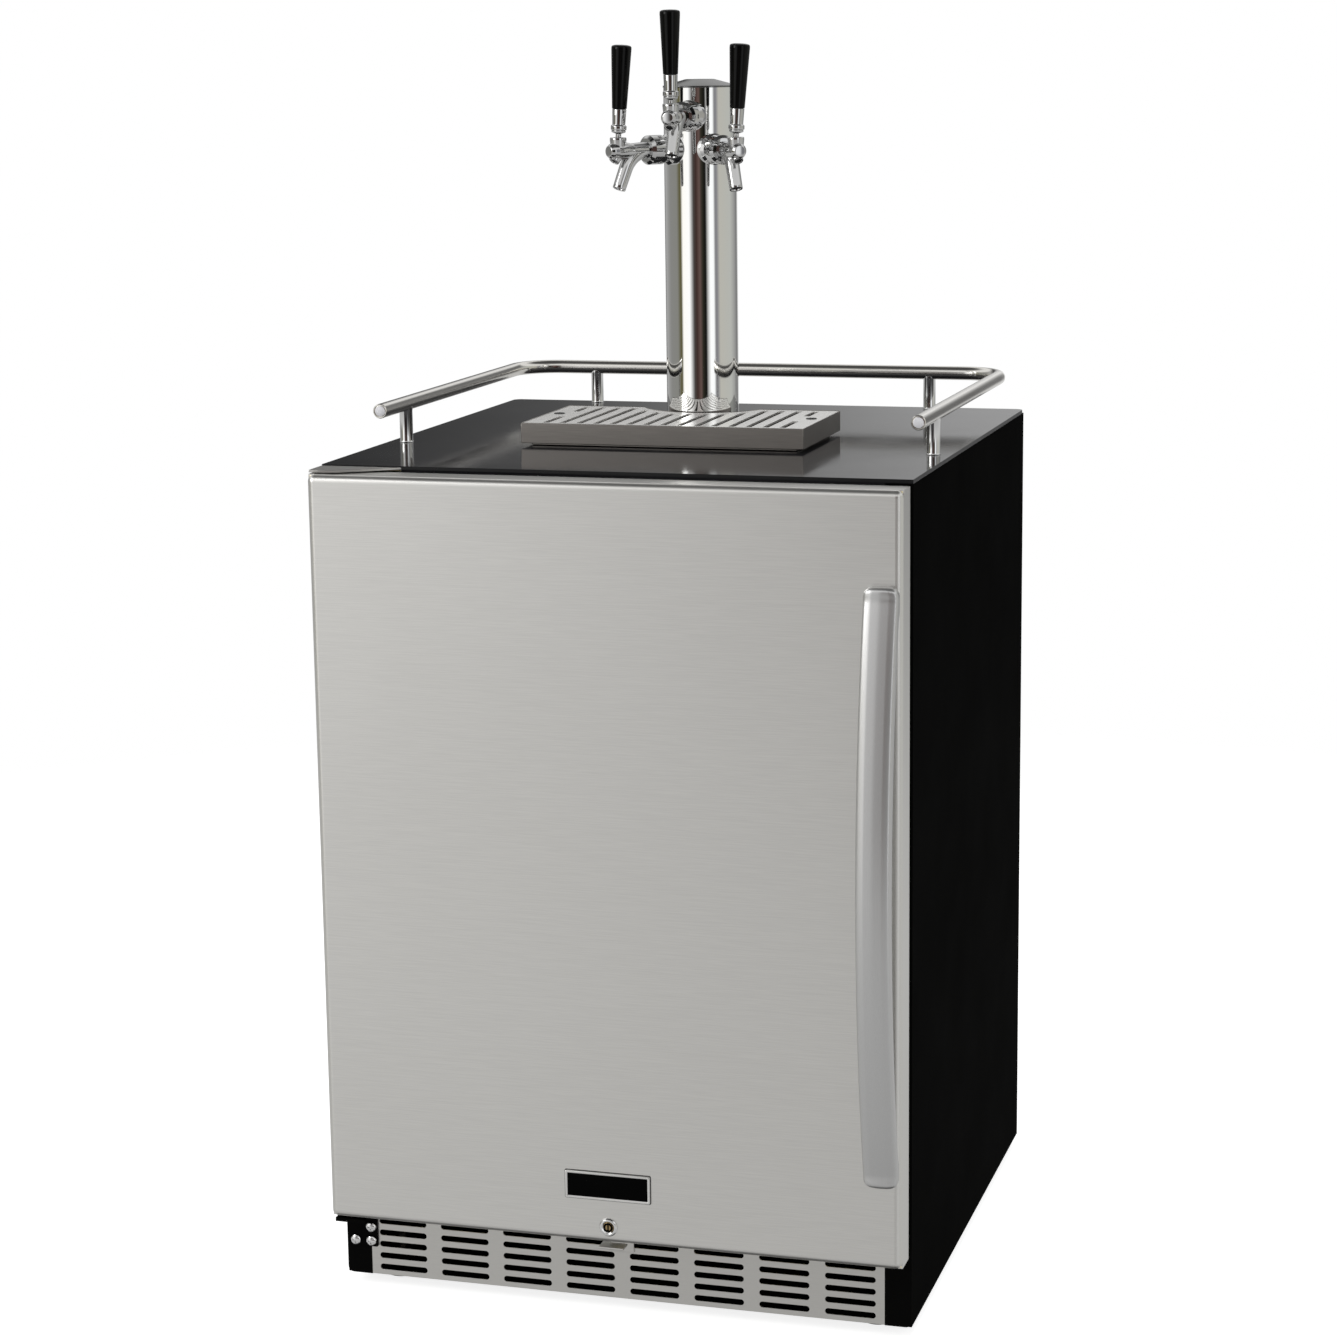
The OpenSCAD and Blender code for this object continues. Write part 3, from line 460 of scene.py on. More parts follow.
x0, y0, z0, x1, y1, z1 = span("door_handle")
hx, hz, half_w, half_l = (x0 + x1) / 2, (z0 + z1) / 2, (x1 - x0) / 2, (z1 - z0) / 2
BAR_T, FOOT_L, FLAT_L = 12.0, 30.0, 12
SIDE_R, TOP_R = 9, 5
rise = y1 - y0 - BAR_T
bow_r = ((half_l - FLAT_L) ** 2 + rise ** 2) / (2 * rise)
stations = [half_l * (1 - (1 - math.cos(math.radians(a))) * 0.04) for a in (0, 12, 24, 36, 48, 60, 75, 90)]
stations += [half_l * (0.96 - 0.06 * k / 6) for k in range(1, 7)]
stations += [half_l * 0.9 * (1 - k / 26) for k in range(1, 27)]
stations = sorted(set(stations + [-s for s in stations]))
rings = []
for z in stations:
    lift = max(0.0, math.sqrt(bow_r ** 2 - min(abs(z), half_l - FLAT_L) ** 2) - (bow_r - rise))
    front, back = lift + BAR_T, lift
    near = (abs(z) - (half_l - FOOT_L)) / FOOT_L
    if near > 0:
        back *= max(0.0, 1 - near * 4) ** 2
    # the ends are rounded at the sides and at the top
    edge = half_l - abs(z)
    w = half_w - (SIDE_R - math.sqrt(max(0.0, SIDE_R ** 2 - (SIDE_R - edge) ** 2)) if edge < SIDE_R else 0.0)
    front -= TOP_R - math.sqrt(max(0.0, TOP_R ** 2 - (TOP_R - edge) ** 2)) if edge < TOP_R else 0.0
    front = max(front, back + 2.0)
    right = [(w, front - 2.2, 4.0), (w * 0.55, front - 0.35, 14)]
    left = [(-a, b, r) for a, b, r in reversed(right)]
    outline = fillet([(-w, back, 1.5), (w, back, 1.5)] + right + [(0, front, 60)] + left,
                     closed=True, steps=4)
    rings.append([(hx + a, y1 - b, hz + z) for a, b in outline])
# a ring whose corners are too tight to round has fewer points and is left out
count = min(len(r) for r in rings)
handle = Shape().loft([r for r in rings if len(r) == count])
handle.done("handle_bow", "door", handle_alu, "aluminium", angle=50, hides=["door_handle"])

# ---------------------------------------------------------------- guard rail and posts

x0, y0, z0, x1, y1, z1 = span("guard_rail")
RAIL_BEND = 45.0
rail_r = (z1 - z0) / 2
rx, ry, rz = x1 - rail_r, y1 - rail_r, (z0 + z1) / 2
path = [(-rx, y0 + 0.01, rz)]
path += [(-rx, y0 + 1 + k * 20, rz) for k in range(int((ry - RAIL_BEND - y0) / 20))]
path += [(-rx + RAIL_BEND * (1 - math.cos(t)), ry - RAIL_BEND * (1 - math.sin(t)), rz)
         for t in (math.pi / 2 * k / 14 for k in range(15))]
path += [(-(rx - RAIL_BEND) * (1 - k / 12), ry, rz) for k in range(1, 12)]
path += [(0, ry, rz)]
path += [(-x, y, z) for x, y, z in reversed(path[:-1])]
path = [Vector(p) for p in path]
places, one = [], None
for p, ahead, behind in zip(path, path[1:] + path[-1:], path[:1] + path):
    along = (ahead - behind).normalized()
    one = basis(along, one or (0, 0, 1))[0]
    places.append((p, one, along.cross(one), along))


def rail_hoop(place, r, shift=0.0):
    p, one, two, along = place
    return hoop(p + along * shift, one, two, r, 40)


# radius and shift along the tube of each hoop at its open, slightly rounded ends
ENDS = [(rail_r - 1.9, 0.9), (rail_r - 1.3, 1.1), (rail_r - 1.1, 0.0), (rail_r - 0.6, 0.0), (rail_r, 0.7)]
tube = Shape()
tube.loft([rail_hoop(places[0], r, d) for r, d in ENDS] + [rail_hoop(q, rail_r) for q in places[1:-1]]
          + [rail_hoop(places[-1], r, -d) for r, d in reversed(ENDS)])
tube.done("rail_tube", "cabinet", rail_steel, "stainless", angle=40, hides=["guard_rail"])
for side, x in (("left", -rx), ("right", rx)):
    plug = Shape()
    plug.lathe([(0, 0.1), (2.2, 0.15), (4.2, 0.45), (rail_r - 2.2, 0.8), (rail_r - 2.2, 6), (0, 6)],
               (x, y0, rz), (0, 1, 0), 40)
    plug.done("rail_plug_" + side, "cabinet", plug_grey, "black_plastic")

POST_R, POST_X = 6.75, 194.0
front_post_y = span("rail_posts")[1] + POST_R
posts = Shape()
for x, y in ((-rx, front_post_y), (rx, front_post_y), (-POST_X, ry), (POST_X, ry)):
    posts.lathe([(0, TOP), (POST_R + 0.5, TOP), (POST_R + 0.55, TOP + 0.5), (POST_R + 0.1, TOP + 1.1),
                 (POST_R, TOP + 1.6), (POST_R, rz - rail_r + 0.4), (POST_R + 0.25, rz - rail_r + 1.0),
                 (POST_R + 0.3, rz - 3.4), (0, rz - 3.0)], (x, y, 0), segments=48)
posts.done("rail_stanchions", "cabinet", chrome, "chrome", hides=["rail_posts"])

# ---------------------------------------------------------------- tower cap and taps

x0, y0, z0, x1, y1, z1 = span("tower_cap")
r = (x1 - x0) / 2
cap = Shape().lathe(fillet([(0, z0), (r, z0, 0.3), (r, z0 + 1.8, 0.7), (15, z1 - 0.2, 8), (0, z1)], steps=6),
                    COLUMN, segments=96)
cap.done("cap_dome", "cabinet", cap_shaded_steel, "stainless", hides=["tower_cap"])

# the outer levers lean to the right, in degrees; the crown's height is measured from the ball
LEAN = 3
CROWN = span("tap_handle_centre")[5] - JOINT["tap_centre_pull"]["pos_m"][2] / MM
# the spout's bend: how far behind the lever its middle lies, its radius, and its first and last angle
ROOT_BACK, ROOT_R, ROOT_START, ROOT_TURN = 37.2, 30.7, math.radians(10), math.radians(66)
SPOUT_TILT, SPOUT_RUN = math.radians(24), 21.9
BALL_UP, BALL_R = 9, 6.2

for side in ("left", "centre", "right"):
    pivot = Vector(JOINT["tap_%s_pull" % side]["pos_m"]) / MM
    out = Vector((pivot.x - COLUMN.x, pivot.y - COLUMN.y, 0))
    lever_r = out.length
    out.normalize()
    up, across = Vector((0, 0, 1)), Vector((0, 0, 1)).cross(out)
    base = Vector((COLUMN.x, COLUMN.y, pivot.z - BALL_UP))

    def at(u, w):
        return base + out * u + up * w

    body = Shape()
    body.lathe(fillet([(0, 63), (12.2, 63), (12.2, 68.4, 0.8), (8.7, 69.4, 0.5), (8.2, 80, 4), (7.5, 92, 6),
                       (8.9, 100, 4), (9.1, 112.5, 1.5), (8.0, 117.2, 1.6), (7.6, 118.0, 0.3),
                       (5.6, 121.1, 1.4), (0, 121.4)], steps=4), base, out, 56)
    # bonnet, open at the top for the lever
    body.lathe(fillet([(0, 1), (7.5, 1), (8.6, 11.6, 1.2), (8.5, 13.4, 0.5), (7.9, 13.9, 0.3),
                       (7.2, 13.9, 0.3), (6.2, 10.2), (0, 8)], steps=3), at(lever_r, 0), up, 56)
    # vent at the nose, with a disc of painted shade in it for the dark of its bore
    nose, vent = (out * 0.62 - up * 0.78).normalized(), at(lever_r - 0.8, -1.5)
    body.lathe(fillet([(0, 0), (6.2, 0), (5.6, 11.2, 0.8), (3.5, 11.4, 0.5), (3.2, 6.0), (0, 6.0)], steps=3),
               vent, nose, 40)
    body.index = 1
    body.lathe([(0, 8.6), (3.4, 8.6), (3.4, 10.0), (0, 10.0)], vent, nose, 32)
    body.index = 0
    # spout: middle line and radius, first round the bend and then straight down
    line = []
    for k in range(17):
        t = ROOT_START + (ROOT_TURN - ROOT_START) * k / 16
        u, w = lever_r - ROOT_BACK + ROOT_R * math.sin(t), ROOT_R * (math.cos(t) - 1)
        line.append((at(u, w), 8.2 - k / 16))
    for k in range(1, 8):
        d = SPOUT_RUN * k / 7
        line.append((at(u + d * math.sin(SPOUT_TILT), w - d * math.cos(SPOUT_TILT)), 7.2 - 0.4 * k / 7))
    rings = []
    for (p, r), (ahead, _), (behind, _) in zip(line, line[1:] + line[-1:], line[:1] + line):
        along = (ahead - behind).normalized()
        rings.append(hoop(p, across, along.cross(across), r, 48))
    end = line[-1][0]
    tip = (end - line[-2][0]).normalized()
    for r, shift in ((6.65, 0.25), (5.3, 0.25), (4.9, -0.3), (4.7, -14)):
        rings.append(hoop(end + tip * shift, across, tip.cross(across), r, 48))
    body.loft(rings)
    # a disc of painted shade inside the spout's mouth for the dark of its bore
    body.index = 1
    body.lathe([(0, -3.0), (4.87, -3.0), (4.87, -1.4), (0, -1.4)], end, tip, 40)
    body.done("faucet_body_" + side, "cabinet", [tap_shaded_plating, painted_hole_shade], "chrome", hides=["faucet_" + side])

    lean = math.radians(0 if side == "centre" else LEAN)
    tilt = Vector((math.sin(lean), 0, math.cos(lean)))
    lever = Shape()
    profile = ball(BALL_R, -90, 50)
    profile += fillet([(2.9, 5.4), (2.9, 8.6, 0.4), (7.1, 10.0, 0.7), (7.4, 11.6, 0.3), (6.8, 12.1, 0.3),
                       (8.1, 12.7, 0.7), (8.15, 16.6, 0.9), (6.7, 17.8, 0.4), (6.75, 19.2, 1.0),
                       (7.3, 33.3, 0.3), (6.0, 33.6), (0, 33.6)], steps=3)
    lever.lathe(profile, pivot, tilt, 56)
    lever.done("lever_stem_" + side, "tap_" + side, tap_shaded_plating, "chrome", hides=["tap_lever_" + side])

    grip = Shape()
    grip.lathe(fillet([(0, 33.7), (7.3, 33.7, 0.5), (7.6, 34.8, 0.6), (8.35, 51, 60), (9.3, 71, 60),
                       (10.35, CROWN - 4.5, 6), (10.2, CROWN - 1.2, 2.6), (6, CROWN - 0.25, 6), (0, CROWN)],
                      steps=7), pivot, tilt, 64)
    grip.done("grip_" + side, "tap_" + side, gloss_black, "gloss_black", hides=["tap_handle_" + side])

# ---------------------------------------------------------------- badge, lock and door hardware

x0, y0, z0, x1, y1, z1 = span("badge")
bx, bz, bw, bh = (x0 + x1) / 2, (z0 + z1) / 2, (x1 - x0) / 2, (z1 - z0) / 2
DOOR_FACE = y1


def on_door(a, b, h):
    return (bx + a, DOOR_FACE - h, bz + b)


def badge_outline(inset, r):
    return box_outline(-bw + inset, bw - inset, -bh + inset, bh - inset, r)


# a dark pad behind the plate that paints the shadow line round its edge, a bright border with rounded shoulders
# and a blank black field
shadow_backing = Shape()
shadow_backing.prism(badge_outline(-0.7, 1.8), -0.05, 0.6, on_door, soft=0.2)
shadow_backing.done("badge_shadow_backing", "door", rubber, "rubber")
outer, sill = badge_outline(0, 1.6), badge_outline(2.4, 0.7)
plate = Shape()
plate.loft([[on_door(a, b, h) for a, b in loop] for loop, h in (
    (outer, 0.5), (outer, 1.5), (shrink(outer, 0.25), 2.0), (shrink(outer, 0.7), 2.15),
    (shrink(sill, -0.35), 2.15), (sill, 1.95), (sill, 1.3))])
plate.done("badge_frame", "door", badge_steel, "stainless", hides=["badge"])
field = Shape()
field.prism(badge_outline(2.5, 0.7), 1.2, 1.75, on_door, soft=0.2)
field.done("badge_field", "door", badge_black, "gloss_black")

x0, y0, z0, x1, y1, z1 = span("lock_body")
lock_x, lock_z = (x0 + x1) / 2, (z0 + z1) / 2
collar = Shape()
collar.lathe(fillet([(5.05, -21.5), (7.9, -21.5, 0.3), (7.9, -0.05), (9.4, -0.05, 0.2), (9.45, 0.9, 0.5),
                     (8.3, 2.25, 0.6), (6.6, 2.35, 0.4), (5.6, 1.5, 0.3), (5.05, 1.2)], steps=4),
             (lock_x, DOOR_FACE, lock_z), (0, -1, 0), 64, closed=True)
collar.done("lock_collar", "door", chrome, "chrome", hides=["lock_body"])
soften("lock_plug", 0.25)
# a black ring on the plug's face is painted shade: it stands for the dark of the ring-shaped keyway round the
# golden centre
guard = Shape()
guard.lathe(fillet([(2.9, -2.5), (4.9, -2.5), (4.9, 0.35, 0.3), (2.9, 0.35, 0.3)], steps=2),
            (lock_x, span("lock_plug")[1], lock_z), (0, -1, 0), 48, closed=True)
guard.done("lock_keyway_shade", "lock", badge_black, "black_plastic")

pin = Vector(JOINT["door_hinge"]["pos_m"]) / MM
low = span("door_skin")[2]
bush = Shape()
bush.lathe(fillet([(4.15, low - 3.7), (7.4, low - 3.7, 0.5), (7.4, low - 2.3, 0.3), (6.0, low - 2.1, 0.2),
                   (6.0, low - 0.2), (4.15, low - 0.2)], steps=3),
           (pin.x, pin.y, 0), segments=48, closed=True)
bush.done("hinge_bush", "door", chrome, "chrome")


def screw(shape, place, axis, r, tall, slot_depth):
    """A domed screw head with a cross sunk into it."""
    axis = Vector(axis).normalized()
    one, two = basis(axis)
    n, arm, wide = 32, r * 0.58, r * 0.13
    place = Vector(place)

    def spot(a, b, h):
        return place + one * a + two * b + axis * h

    rims = [(r, 0.0), (r, tall * 0.35), (r * 0.93, tall * 0.68), (r * 0.78, tall * 0.9)]
    turns = [2 * math.pi * (k + 0.5) / n for k in range(n)]
    made = [shape.ring([spot(q * math.cos(t), q * math.sin(t), h) for t in turns]) for q, h in rims]
    for a, b in zip(made, made[1:]):
        shape.bridge(a, b)
    shape.cap(made[0], flip=True)
    cross = []
    for k in range(4):
        t = math.pi / 2 * k
        c, s = math.cos(t), math.sin(t)
        for a, b in ((arm, -wide), (arm, wide), (wide, wide)):
            cross.append((a * c - b * s, a * s + b * c))
    edge = shape.ring([spot(a, b, tall) for a, b in cross])
    sunk = shape.ring([spot(a * 0.8, b * 0.8, tall - slot_depth) for a, b in cross])
    shape.bridge(edge, sunk)
    shape.cap(sunk)
    # fan the crown between the last rim and the cross
    outer_ring = made[-1]
    per = n // 4
    for k in range(4):
        arc = [outer_ring[(k * per + j - per // 8 - 1) % n] for j in range(per // 4 + 2)]
        tip_a, tip_b = edge[k * 3], edge[k * 3 + 1]
        shape.face([tip_b, tip_a] + arc)
        corner = edge[k * 3 + 2]
        nxt = edge[(k * 3 + 3) % 12]
        arc = [outer_ring[(k * per + j - per // 8 - 1 + per // 4 + 1) % n] for j in range(per - per // 4)]
        shape.face([nxt, corner, tip_b] + arc)


heads = Shape()
head_y = span("hinge_screws")[4] - 3
for x, z in ((-287, 49.5), (-270, 49.5), (-270, 64.5)):
    heads.lathe([(0, -2.8), (2.5, -2.8), (2.5, 0), (0, 0)], (x, head_y, z), (0, -1, 0), 24)
    screw(heads, (x, head_y, z), (0, -1, 0), 5.5, 2.9, 1.3)
heads.done("hinge_screw_heads", "cabinet", chrome, "chrome", angle=30, hides=["hinge_screws"])

rear = Shape()
back, seam, EDGE_X = span("rear_panel")[4], span("machine_cover")[5], 280
rear_screws = [(x, z) for x in (-EDGE_X, 0, EDGE_X) for z in (seam - 9, seam + 9, TOP - 16)]
rear_screws += [(x, z) for x in (-EDGE_X, EDGE_X) for z in (30, 150, 420, 580, 700)]
for x, z in rear_screws:
    screw(rear, (x, back, z), (0, 1, 0), 4.2, 1.7, 0.8)
rear.done("rear_screws", "cabinet", chrome, "chrome", angle=30)

# ---------------------------------------------------------------- feet, gas set, dial and seal

THREAD_PITCH = 1.25
for corner, joined in (("front_left", "foot_fl"), ("front_right", "foot_fr"),
                       ("rear_left", "foot_rl"), ("rear_right", "foot_rr")):
    x0, y0, z0, x1, y1, z1 = span("foot_" + corner)
    cx, cy, r = (x0 + x1) / 2, (y0 + y1) / 2, (x1 - x0) / 2
    leveller = Shape()
    leveller.lathe(fillet([(0, 0), (r - 2.2, 0, 0.8), (r, 2.0, 0.8), (r, 6.9, 1.2), (r - 3, 7.2, 0.8),
                           (9, 7.2), (0, 7.2)], steps=4), (cx, cy, 0), segments=48)
    hexagon = [(8 * math.cos(t), 8 * math.sin(t)) for t in (math.pi / 3 * k for k in range(6))]
    leveller.prism(hexagon, 7.0, 10.0, lambda a, b, h: (cx + a, cy + b, h), soft=0.5)
    thread = [(0, 8)]
    z = 10.0
    while z < z1 - 1.5:
        thread += [(3.5, z), (3.98, z + 0.6)]
        z += THREAD_PITCH
    leveller.lathe(thread + [(3.3, z1 - 0.4), (0, z1)], (cx, cy, 0), segments=24)
    leveller.done("leveller_" + corner, joined, black_plastic, "black_plastic", hides=["foot_" + corner])

x0, y0, z0, x1, y1, z1 = span("co2_cylinder")
gx, gy, gr = (x0 + x1) / 2, (y0 + y1) / 2, (x1 - x0) / 2
tall = z1 - z0
profile = fillet([(0, 5), (gr - 16, 3), (gr - 12, 0, 3), (gr - 4, 0.2, 3), (gr, 8, 6), (gr, tall - 62)],
                 steps=5)
profile += [(gr * math.cos(t), tall - 60 + 48 * math.sin(t))
            for t in (math.radians(72) * k / 14 for k in range(15))]
profile += fillet([(16.4, tall - 10, 1), (16, tall - 1, 1), (14, tall), (0, tall)], steps=3)
tank = Shape().lathe(profile, (gx, gy, z0), segments=96)
tank.done("gas_bottle", "cabinet", tank_alu, "aluminium", hides=["co2_cylinder"])

# finger holes of the grate, each lined with a rubber ring over a disc of painted shade for the dark gap below
x0, y0, z0, x1, y1, z1 = span("drip_grate")
rims = Shape()
for side in (-1, 1):
    spot = ((x0 + x1) / 2 + side * ((x1 - x0) / 2 - 11.4), y0 + 86.4, z1)
    rims.index = 0
    rims.lathe(fillet([(2.7, -1.7), (4.45, -1.7), (4.45, 0.05), (5.6, 0.1, 0.1), (5.5, 0.75, 0.3),
                       (3.2, 0.95, 0.4), (2.7, 0.5)], steps=3), spot, segments=48, closed=True)
    rims.index = 1
    rims.lathe([(0, -1.6), (2.75, -1.6), (2.75, -1.1), (0, -1.1)], spot, segments=32)
rims.done("grate_hole_rims", "grate", [rubber, painted_hole_shade], "rubber")

# door seal: a bellows profile run round the door, u in from its outer edge and v out from the door
x0, y0, z0, x1, y1, z1 = span("door_gasket")
BELLOWS = [(2, 0), (18, 0), (18, 1.2), (14.5, 2.4), (17.8, 3.6), (17.8, 4.4), (14.5, 5.5), (18.4, 6.5),
           (19.4, 7.8), (18.8, 9.3), (11.5, 9.5), (10, 9.1), (8.5, 9.5), (1.2, 9.3), (0.6, 7.8), (1.6, 6.5),
           (5.5, 5.5), (2.2, 4.4), (2.2, 3.6), (5.5, 2.4), (2, 1.2)]
seal = Shape()
made = []
for u, v in BELLOWS:
    outline = box_outline(x0 + u, x1 - u, z0 + u, z1 - u, 8 - u * 0.3, steps=5)
    made.append(seal.ring([(a, y0 + v, b) for a, b in outline]))
for a, b in zip(made, made[1:] + made[:1]):
    seal.bridge(a, b)
seal.done("door_seal", "door", rubber, "rubber", angle=40, hides=["door_gasket"])


def strip(shape, origin, across, along, normal, wide, start, stop, low, high):
    """A small bar: runs from start to stop along a direction, standing low to high off a surface."""
    a, b, n = Vector(across), Vector(along), Vector(normal)
    corners = [(-wide / 2, start), (wide / 2, start), (wide / 2, stop), (-wide / 2, stop)]
    shape.loft([[Vector(origin) + a * u + b * v + n * h for u, v in corners] for h in (low, high)])


def spoke(degrees):
    """Outward and sideways directions at an angle on a front face."""
    t = math.radians(degrees)
    return Vector((math.cos(t), 0, math.sin(t))), Vector((-math.sin(t), 0, math.cos(t)))


def dial(name, centre, r, sweep, marks, reading):
    """A gauge front: chrome bezel, enamel face, raised scale marks and a needle at a share of its sweep."""
    front = Vector((0, -1, 0))
    shape = Shape()
    shape.lathe(fillet([(r - 2.6, 0), (r + 0.2, 0), (r + 0.2, 1.6, 0.6), (r - 1.2, 2.1, 0.5), (r - 2.6, 0.9)],
                       steps=3), centre, front, 56, closed=True)
    shape.index = 1
    shape.lathe([(0, 0.05), (r - 2.5, 0.05), (r - 2.5, 0.5), (0, 0.5)], centre, front, 56)
    shape.index = 2
    for k in range(marks + 1):
        out, side = spoke(90 + sweep / 2 - sweep * k / marks)
        wide, inner = (0.9, 0.6) if k % 5 == 0 else (0.5, 0.68)
        strip(shape, centre, side, out, front, wide, r * inner, r * 0.8, 0.4, 0.62)
    out, side = spoke(90 + sweep / 2 - sweep * reading)
    shape.index = 3
    strip(shape, centre, side, out, front, 1.1, -r * 0.18, r * 0.62, 0.8, 1.1)
    shape.index = 2
    shape.lathe([(0, 0.4), (2.4, 0.4), (2.2, 1.5), (0, 1.7)], centre, front, 24)
    shape.done(name, "cabinet", [chrome, enamel, black_plastic, needle_red], "brass", angle=35)


x0, y0, z0, x1, y1, z1 = span("regulator")
GAUGE_R = 22
dial("gauge_tank", (x0 + GAUGE_R, y0, z1 - GAUGE_R), GAUGE_R, 270, 20, 0.62)
dial("gauge_keg", (x1 - GAUGE_R, y0, z1 - 3.27 * GAUGE_R), GAUGE_R, 270, 15, 0.3)

# scale round the thermostat's knob, where its housing has room for a mark
x0, y0, z0, x1, y1, z1 = span("thermostat_housing")
knob = span("thermostat_knob")
hx, hz = (knob[0] + knob[3]) / 2, JOINT["dial_turn"]["pos_m"][2] / MM
MARKS, MARK_FROM, MARK_TO, FACE_DEEP = 8, 17.5, 20.5, 12
scale = Shape()
for k in range(MARKS):
    out, side = spoke(-10 + 200 * k / (MARKS - 1))
    if abs(hz + 22 * out.z - z0) > 3 and hz + 21 * out.z < z1 - 1:
        strip(scale, (hx, y0 + FACE_DEEP, hz), side, out, (0, -1, 0), 1.0, MARK_FROM, MARK_TO, -0.2, 0.35)
scale.done("dial_scale", "cabinet", black_plastic, "black_plastic")

# the three blades in the power inlet
x0, y0, z0, x1, y1, z1 = span("power_inlet")
BLADE_ROOT, BLADE_LONG, BLADE_HALF = 17.5, 13, 2.6
pins = Shape()
for dx, dz in ((-7, -1.5), (7, -1.5), (0, 2.5)):
    root = ((x0 + x1) / 2 + dx, y1 - BLADE_ROOT, (z0 + z1) / 2 + dz)
    strip(pins, root, (1, 0, 0), (0, 0, 1), (0, 1, 0), 2.0, -BLADE_HALF, BLADE_HALF, 0, BLADE_LONG)
pins.done("inlet_blades", "cabinet", brass, "brass")

# ---------------------------------------------------------------- studio

# the photo's camera: its place in metres and its turns in radians
cam_data = bpy.data.cameras.new("camera")
cam_data.sensor_width = 36
cam_data.lens = 85.77
cam = bpy.data.objects.new("camera", cam_data)
scene.collection.objects.link(cam)
turn = (Matrix.Rotation(0.2834, 4, "Z") @ Matrix.Rotation(0.0124, 4, "Y")
        @ Matrix.Rotation(-0.1943, 4, "X") @ Matrix.Rotation(math.pi / 2, 4, "X"))
cam.matrix_world = Matrix.Translation((0.910395, -3.155274, 1.26127)) @ turn
scene.camera = cam
scene.view_settings.view_transform = "Standard"


def disc(name, radius, rings, segments):
    """A flat round mesh in metres, made of rings round its centre."""
    bm = bmesh.new()
    last = None
    centre = bm.verts.new((0, 0, 0))
    for k in range(1, rings + 1):
        r = radius * k / rings
        ring = [bm.verts.new((r * math.cos(2 * math.pi * i / segments),
                              r * math.sin(2 * math.pi * i / segments), 0)) for i in range(segments)]
        for i in range(segments):
            j = (i + 1) % segments
            if last is None:
                bm.faces.new((centre, ring[i], ring[j]))
            else:
                bm.faces.new((last[i], ring[i], ring[j], last[j]))
        last = ring
    mesh = bpy.data.meshes.new(name)
    bm.to_mesh(mesh)
    bm.free()
    obj = bpy.data.objects.new(name, mesh)
    scene.collection.objects.link(obj)
    return obj


floor = disc("floor", 2.6, 6, 96)
floor_paint = Paint("floor_paint", (0.5, 0.5, 0.5), roughness=0.75, Specular_IOR_Level=0.05,
                    Emission_Color=(1, 1, 1, 1), Emission_Strength=0.84)
floor_paint.tint(floor_paint.noise(2, detail=4.0), (0.52, 0.52, 0.515))
reach = floor_paint.tree.nodes.new("ShaderNodeVectorMath")
reach.operation = "LENGTH"
floor_paint.link(floor_paint.coords, reach.inputs[0])
fade = floor_paint.spread(reach.outputs["Value"], 1.0, 0.0, 1.7, 2.55)
floor_paint.link(fade, floor_paint.bsdf.inputs["Alpha"])
floor.data.materials.append(floor_paint.mat)
floor.visible_glossy = False

# the studio round the object: grey walls with two tall bright panels, and a dim stretch behind the camera
world = bpy.data.worlds.new("studio")
scene.world = world
world.use_nodes = True
tree = world.node_tree
tree.nodes.clear()


def wire(kind, **settings):
    node = tree.nodes.new(kind)
    for key, value in settings.items():
        setattr(node, key, value)
    return node


def join(out, to):
    tree.links.new(out, to)


where = wire("ShaderNodeTexCoord")
split = wire("ShaderNodeSeparateXYZ")
join(where.outputs["Generated"], split.inputs["Vector"])
flip = wire("ShaderNodeMath", operation="MULTIPLY")
flip.inputs[1].default_value = -1
join(split.outputs["Y"], flip.inputs[0])
angle = wire("ShaderNodeMath", operation="ARCTAN2")
join(split.outputs["X"], angle.inputs[0])
join(flip.outputs[0], angle.inputs[1])
turned = wire("ShaderNodeMapRange")
turned.inputs["From Min"].default_value = -math.pi
turned.inputs["From Max"].default_value = math.pi
join(angle.outputs[0], turned.inputs["Value"])
walls = wire("ShaderNodeValToRGB")
# azimuth in degrees from straight ahead, positive to the right, and the light that comes from there
WALLS = [
    (-180, (0.9, 0.9, 0.9)), (-169, (0.62, 0.62, 0.62)), (-166, (0.4, 0.4, 0.4)),
    (-162, (0.14, 0.14, 0.14)), (-157, (0.04, 0.04, 0.04)), (-135, (0.42, 0.42, 0.42)),
    (-100, (0.27, 0.27, 0.26)), (-68, (0.26, 0.26, 0.24)), (-57, (0.13, 0.12, 0.06)),
    (-52, (0.13, 0.12, 0.06)), (-46, (1.15, 1.13, 1.08)), (-24, (1.15, 1.15, 1.15)),
    (-14, (0.34, 0.34, 0.34)), (-9, (0.07, 0.06, 0.055)), (0, (0.055, 0.03, 0.026)),
    (11, (0.14, 0.09, 0.08)), (17, (0.03, 0.028, 0.02)), (29, (0.004, 0.004, 0.004)),
    (34, (0.45, 0.45, 0.44)), (43, (1.15, 1.16, 1.17)), (54, (1.1, 1.12, 1.13)),
    (60, (0.26, 0.26, 0.27)), (66, (0.26, 0.26, 0.28)), (76, (0.54, 0.53, 0.48)),
    (120, (0.52, 0.53, 0.5)), (150, (0.3, 0.3, 0.3)), (168, (0.1, 0.1, 0.1)),
    (180, (0.9, 0.9, 0.9)),
]
# height of the direction, the light there, and how far it takes over from the walls
HEIGHTS = [
    (-1.0, 0.05, 1.0), (-0.92, 0.08, 1.0), (-0.8, 0.5, 1.0), (-0.45, 0.5, 1.0),
    (-0.24, 0.62, 0.9), (-0.12, 0.62, 0.0), (0.34, 0.8, 0.0), (0.5, 0.85, 1.0),
    (0.7, 0.8, 1.0), (0.84, 0.1, 1.0), (1.0, 0.06, 1.0),
]


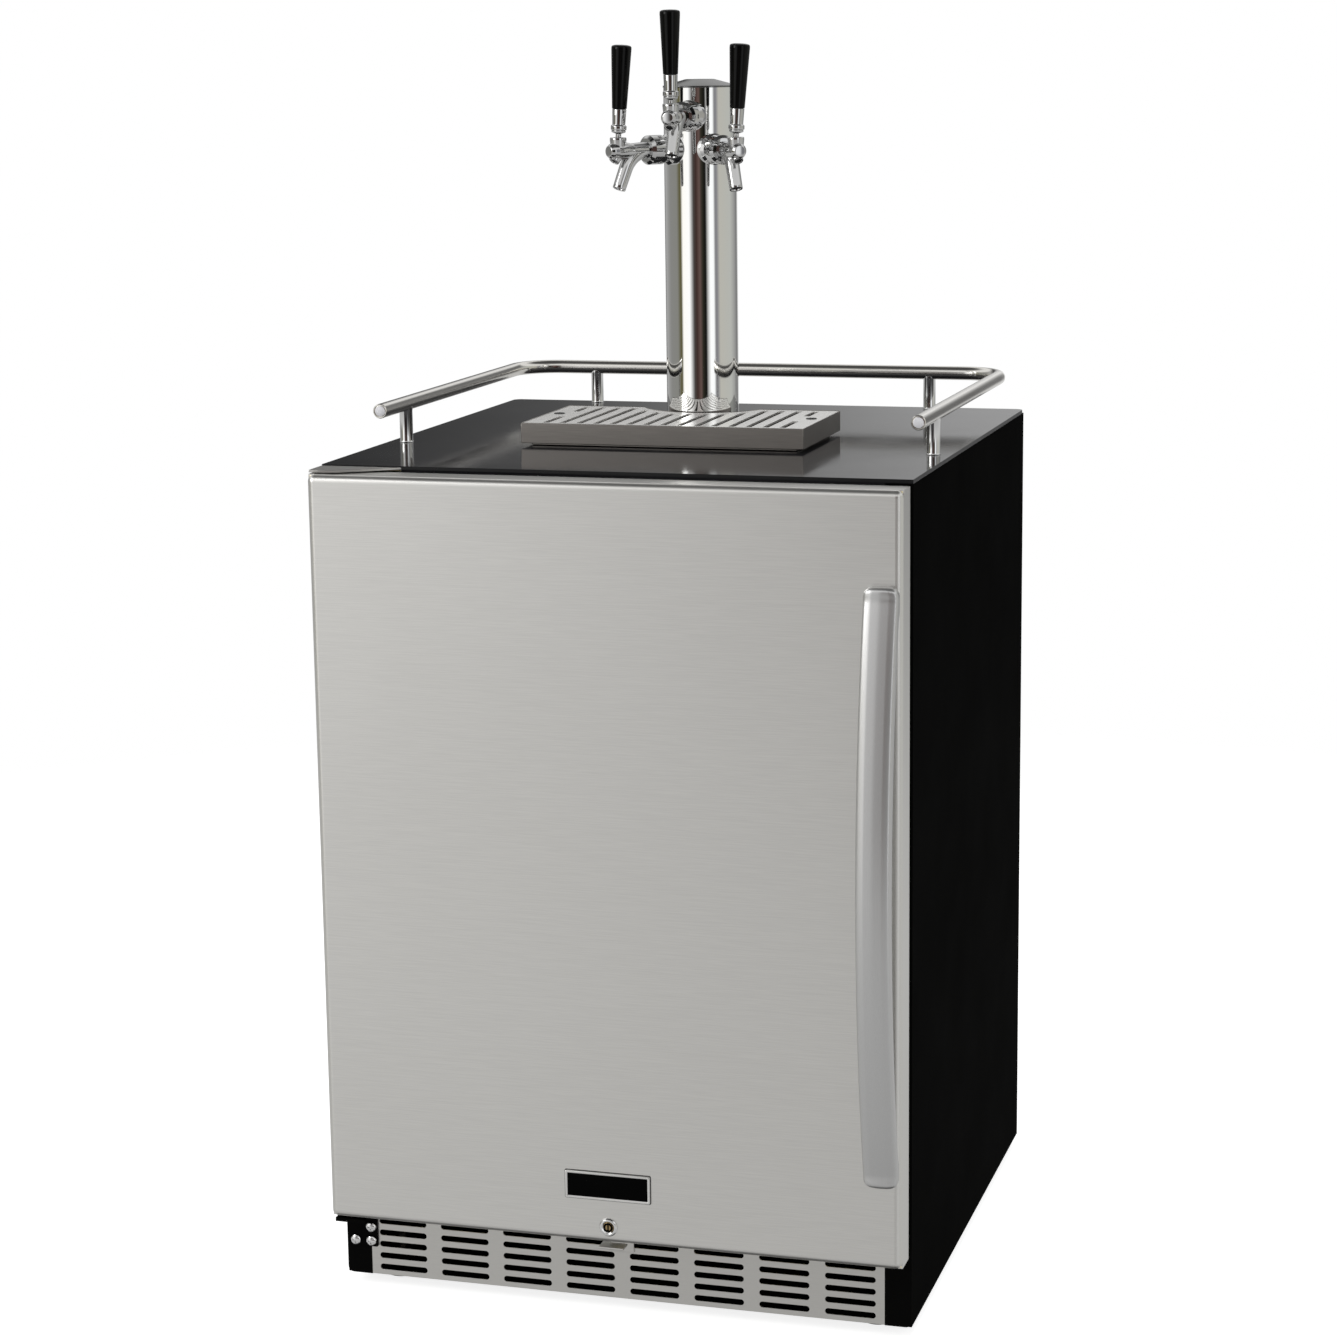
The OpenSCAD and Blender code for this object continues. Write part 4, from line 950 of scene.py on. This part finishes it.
def stops(ramp, values):
    """Fills a colour ramp with (position, colour) pairs."""
    while len(ramp.elements) > 1:
        ramp.elements.remove(ramp.elements[0])
    for k, (position, colour) in enumerate(values):
        element = ramp.elements[0] if k == 0 else ramp.elements.new(position)
        element.position = position
        element.color = colour


stops(walls.color_ramp, [((degrees + 180) / 360, (*light, 1.0)) for degrees, light in WALLS])
join(turned.outputs["Result"], walls.inputs["Fac"])
level = wire("ShaderNodeMapRange")
level.inputs["From Min"].default_value = -1.0
join(split.outputs["Z"], level.inputs["Value"])
bands = wire("ShaderNodeValToRGB")
stops(bands.color_ramp, [((z + 1) / 2, (g, g, g * 0.99, share)) for z, g, share in HEIGHTS])
join(level.outputs["Result"], bands.inputs["Fac"])
high = wire("ShaderNodeMix", data_type="RGBA")
join(bands.outputs["Alpha"], high.inputs["Factor"])
join(walls.outputs["Color"], high.inputs["A"])
join(bands.outputs["Color"], high.inputs["B"])
around = wire("ShaderNodeBackground")
join(high.outputs["Result"], around.inputs["Color"])
backdrop = wire("ShaderNodeBackground")
backdrop.inputs["Color"].default_value = (1, 1, 1, 1)
seen = wire("ShaderNodeLightPath")
both = wire("ShaderNodeMixShader")
join(seen.outputs["Is Camera Ray"], both.inputs["Fac"])
join(around.outputs["Background"], both.inputs[1])
join(backdrop.outputs["Background"], both.inputs[2])
out = wire("ShaderNodeOutputWorld")
join(both.outputs["Shader"], out.inputs["Surface"])


def lamp(name, place, target, size, power):
    """A soft panel of light aimed at a point."""
    data = bpy.data.lights.new(name, "AREA")
    data.shape = "RECTANGLE"
    data.size, data.size_y = size
    data.energy = power
    obj = bpy.data.objects.new(name, data)
    obj.location = place
    obj.rotation_euler = (Vector(target) - Vector(place)).to_track_quat("-Z", "Y").to_euler()
    scene.collection.objects.link(obj)
    return obj


lamp("overhead", (-0.3, -0.4, 3.4), (0, 0, 0), (3.2, 3.2), 95).visible_glossy = False
lamp("key", (-2.4, -2.2, 2.2), (0, -0.2, 0.6), (1.2, 1.8), 28)
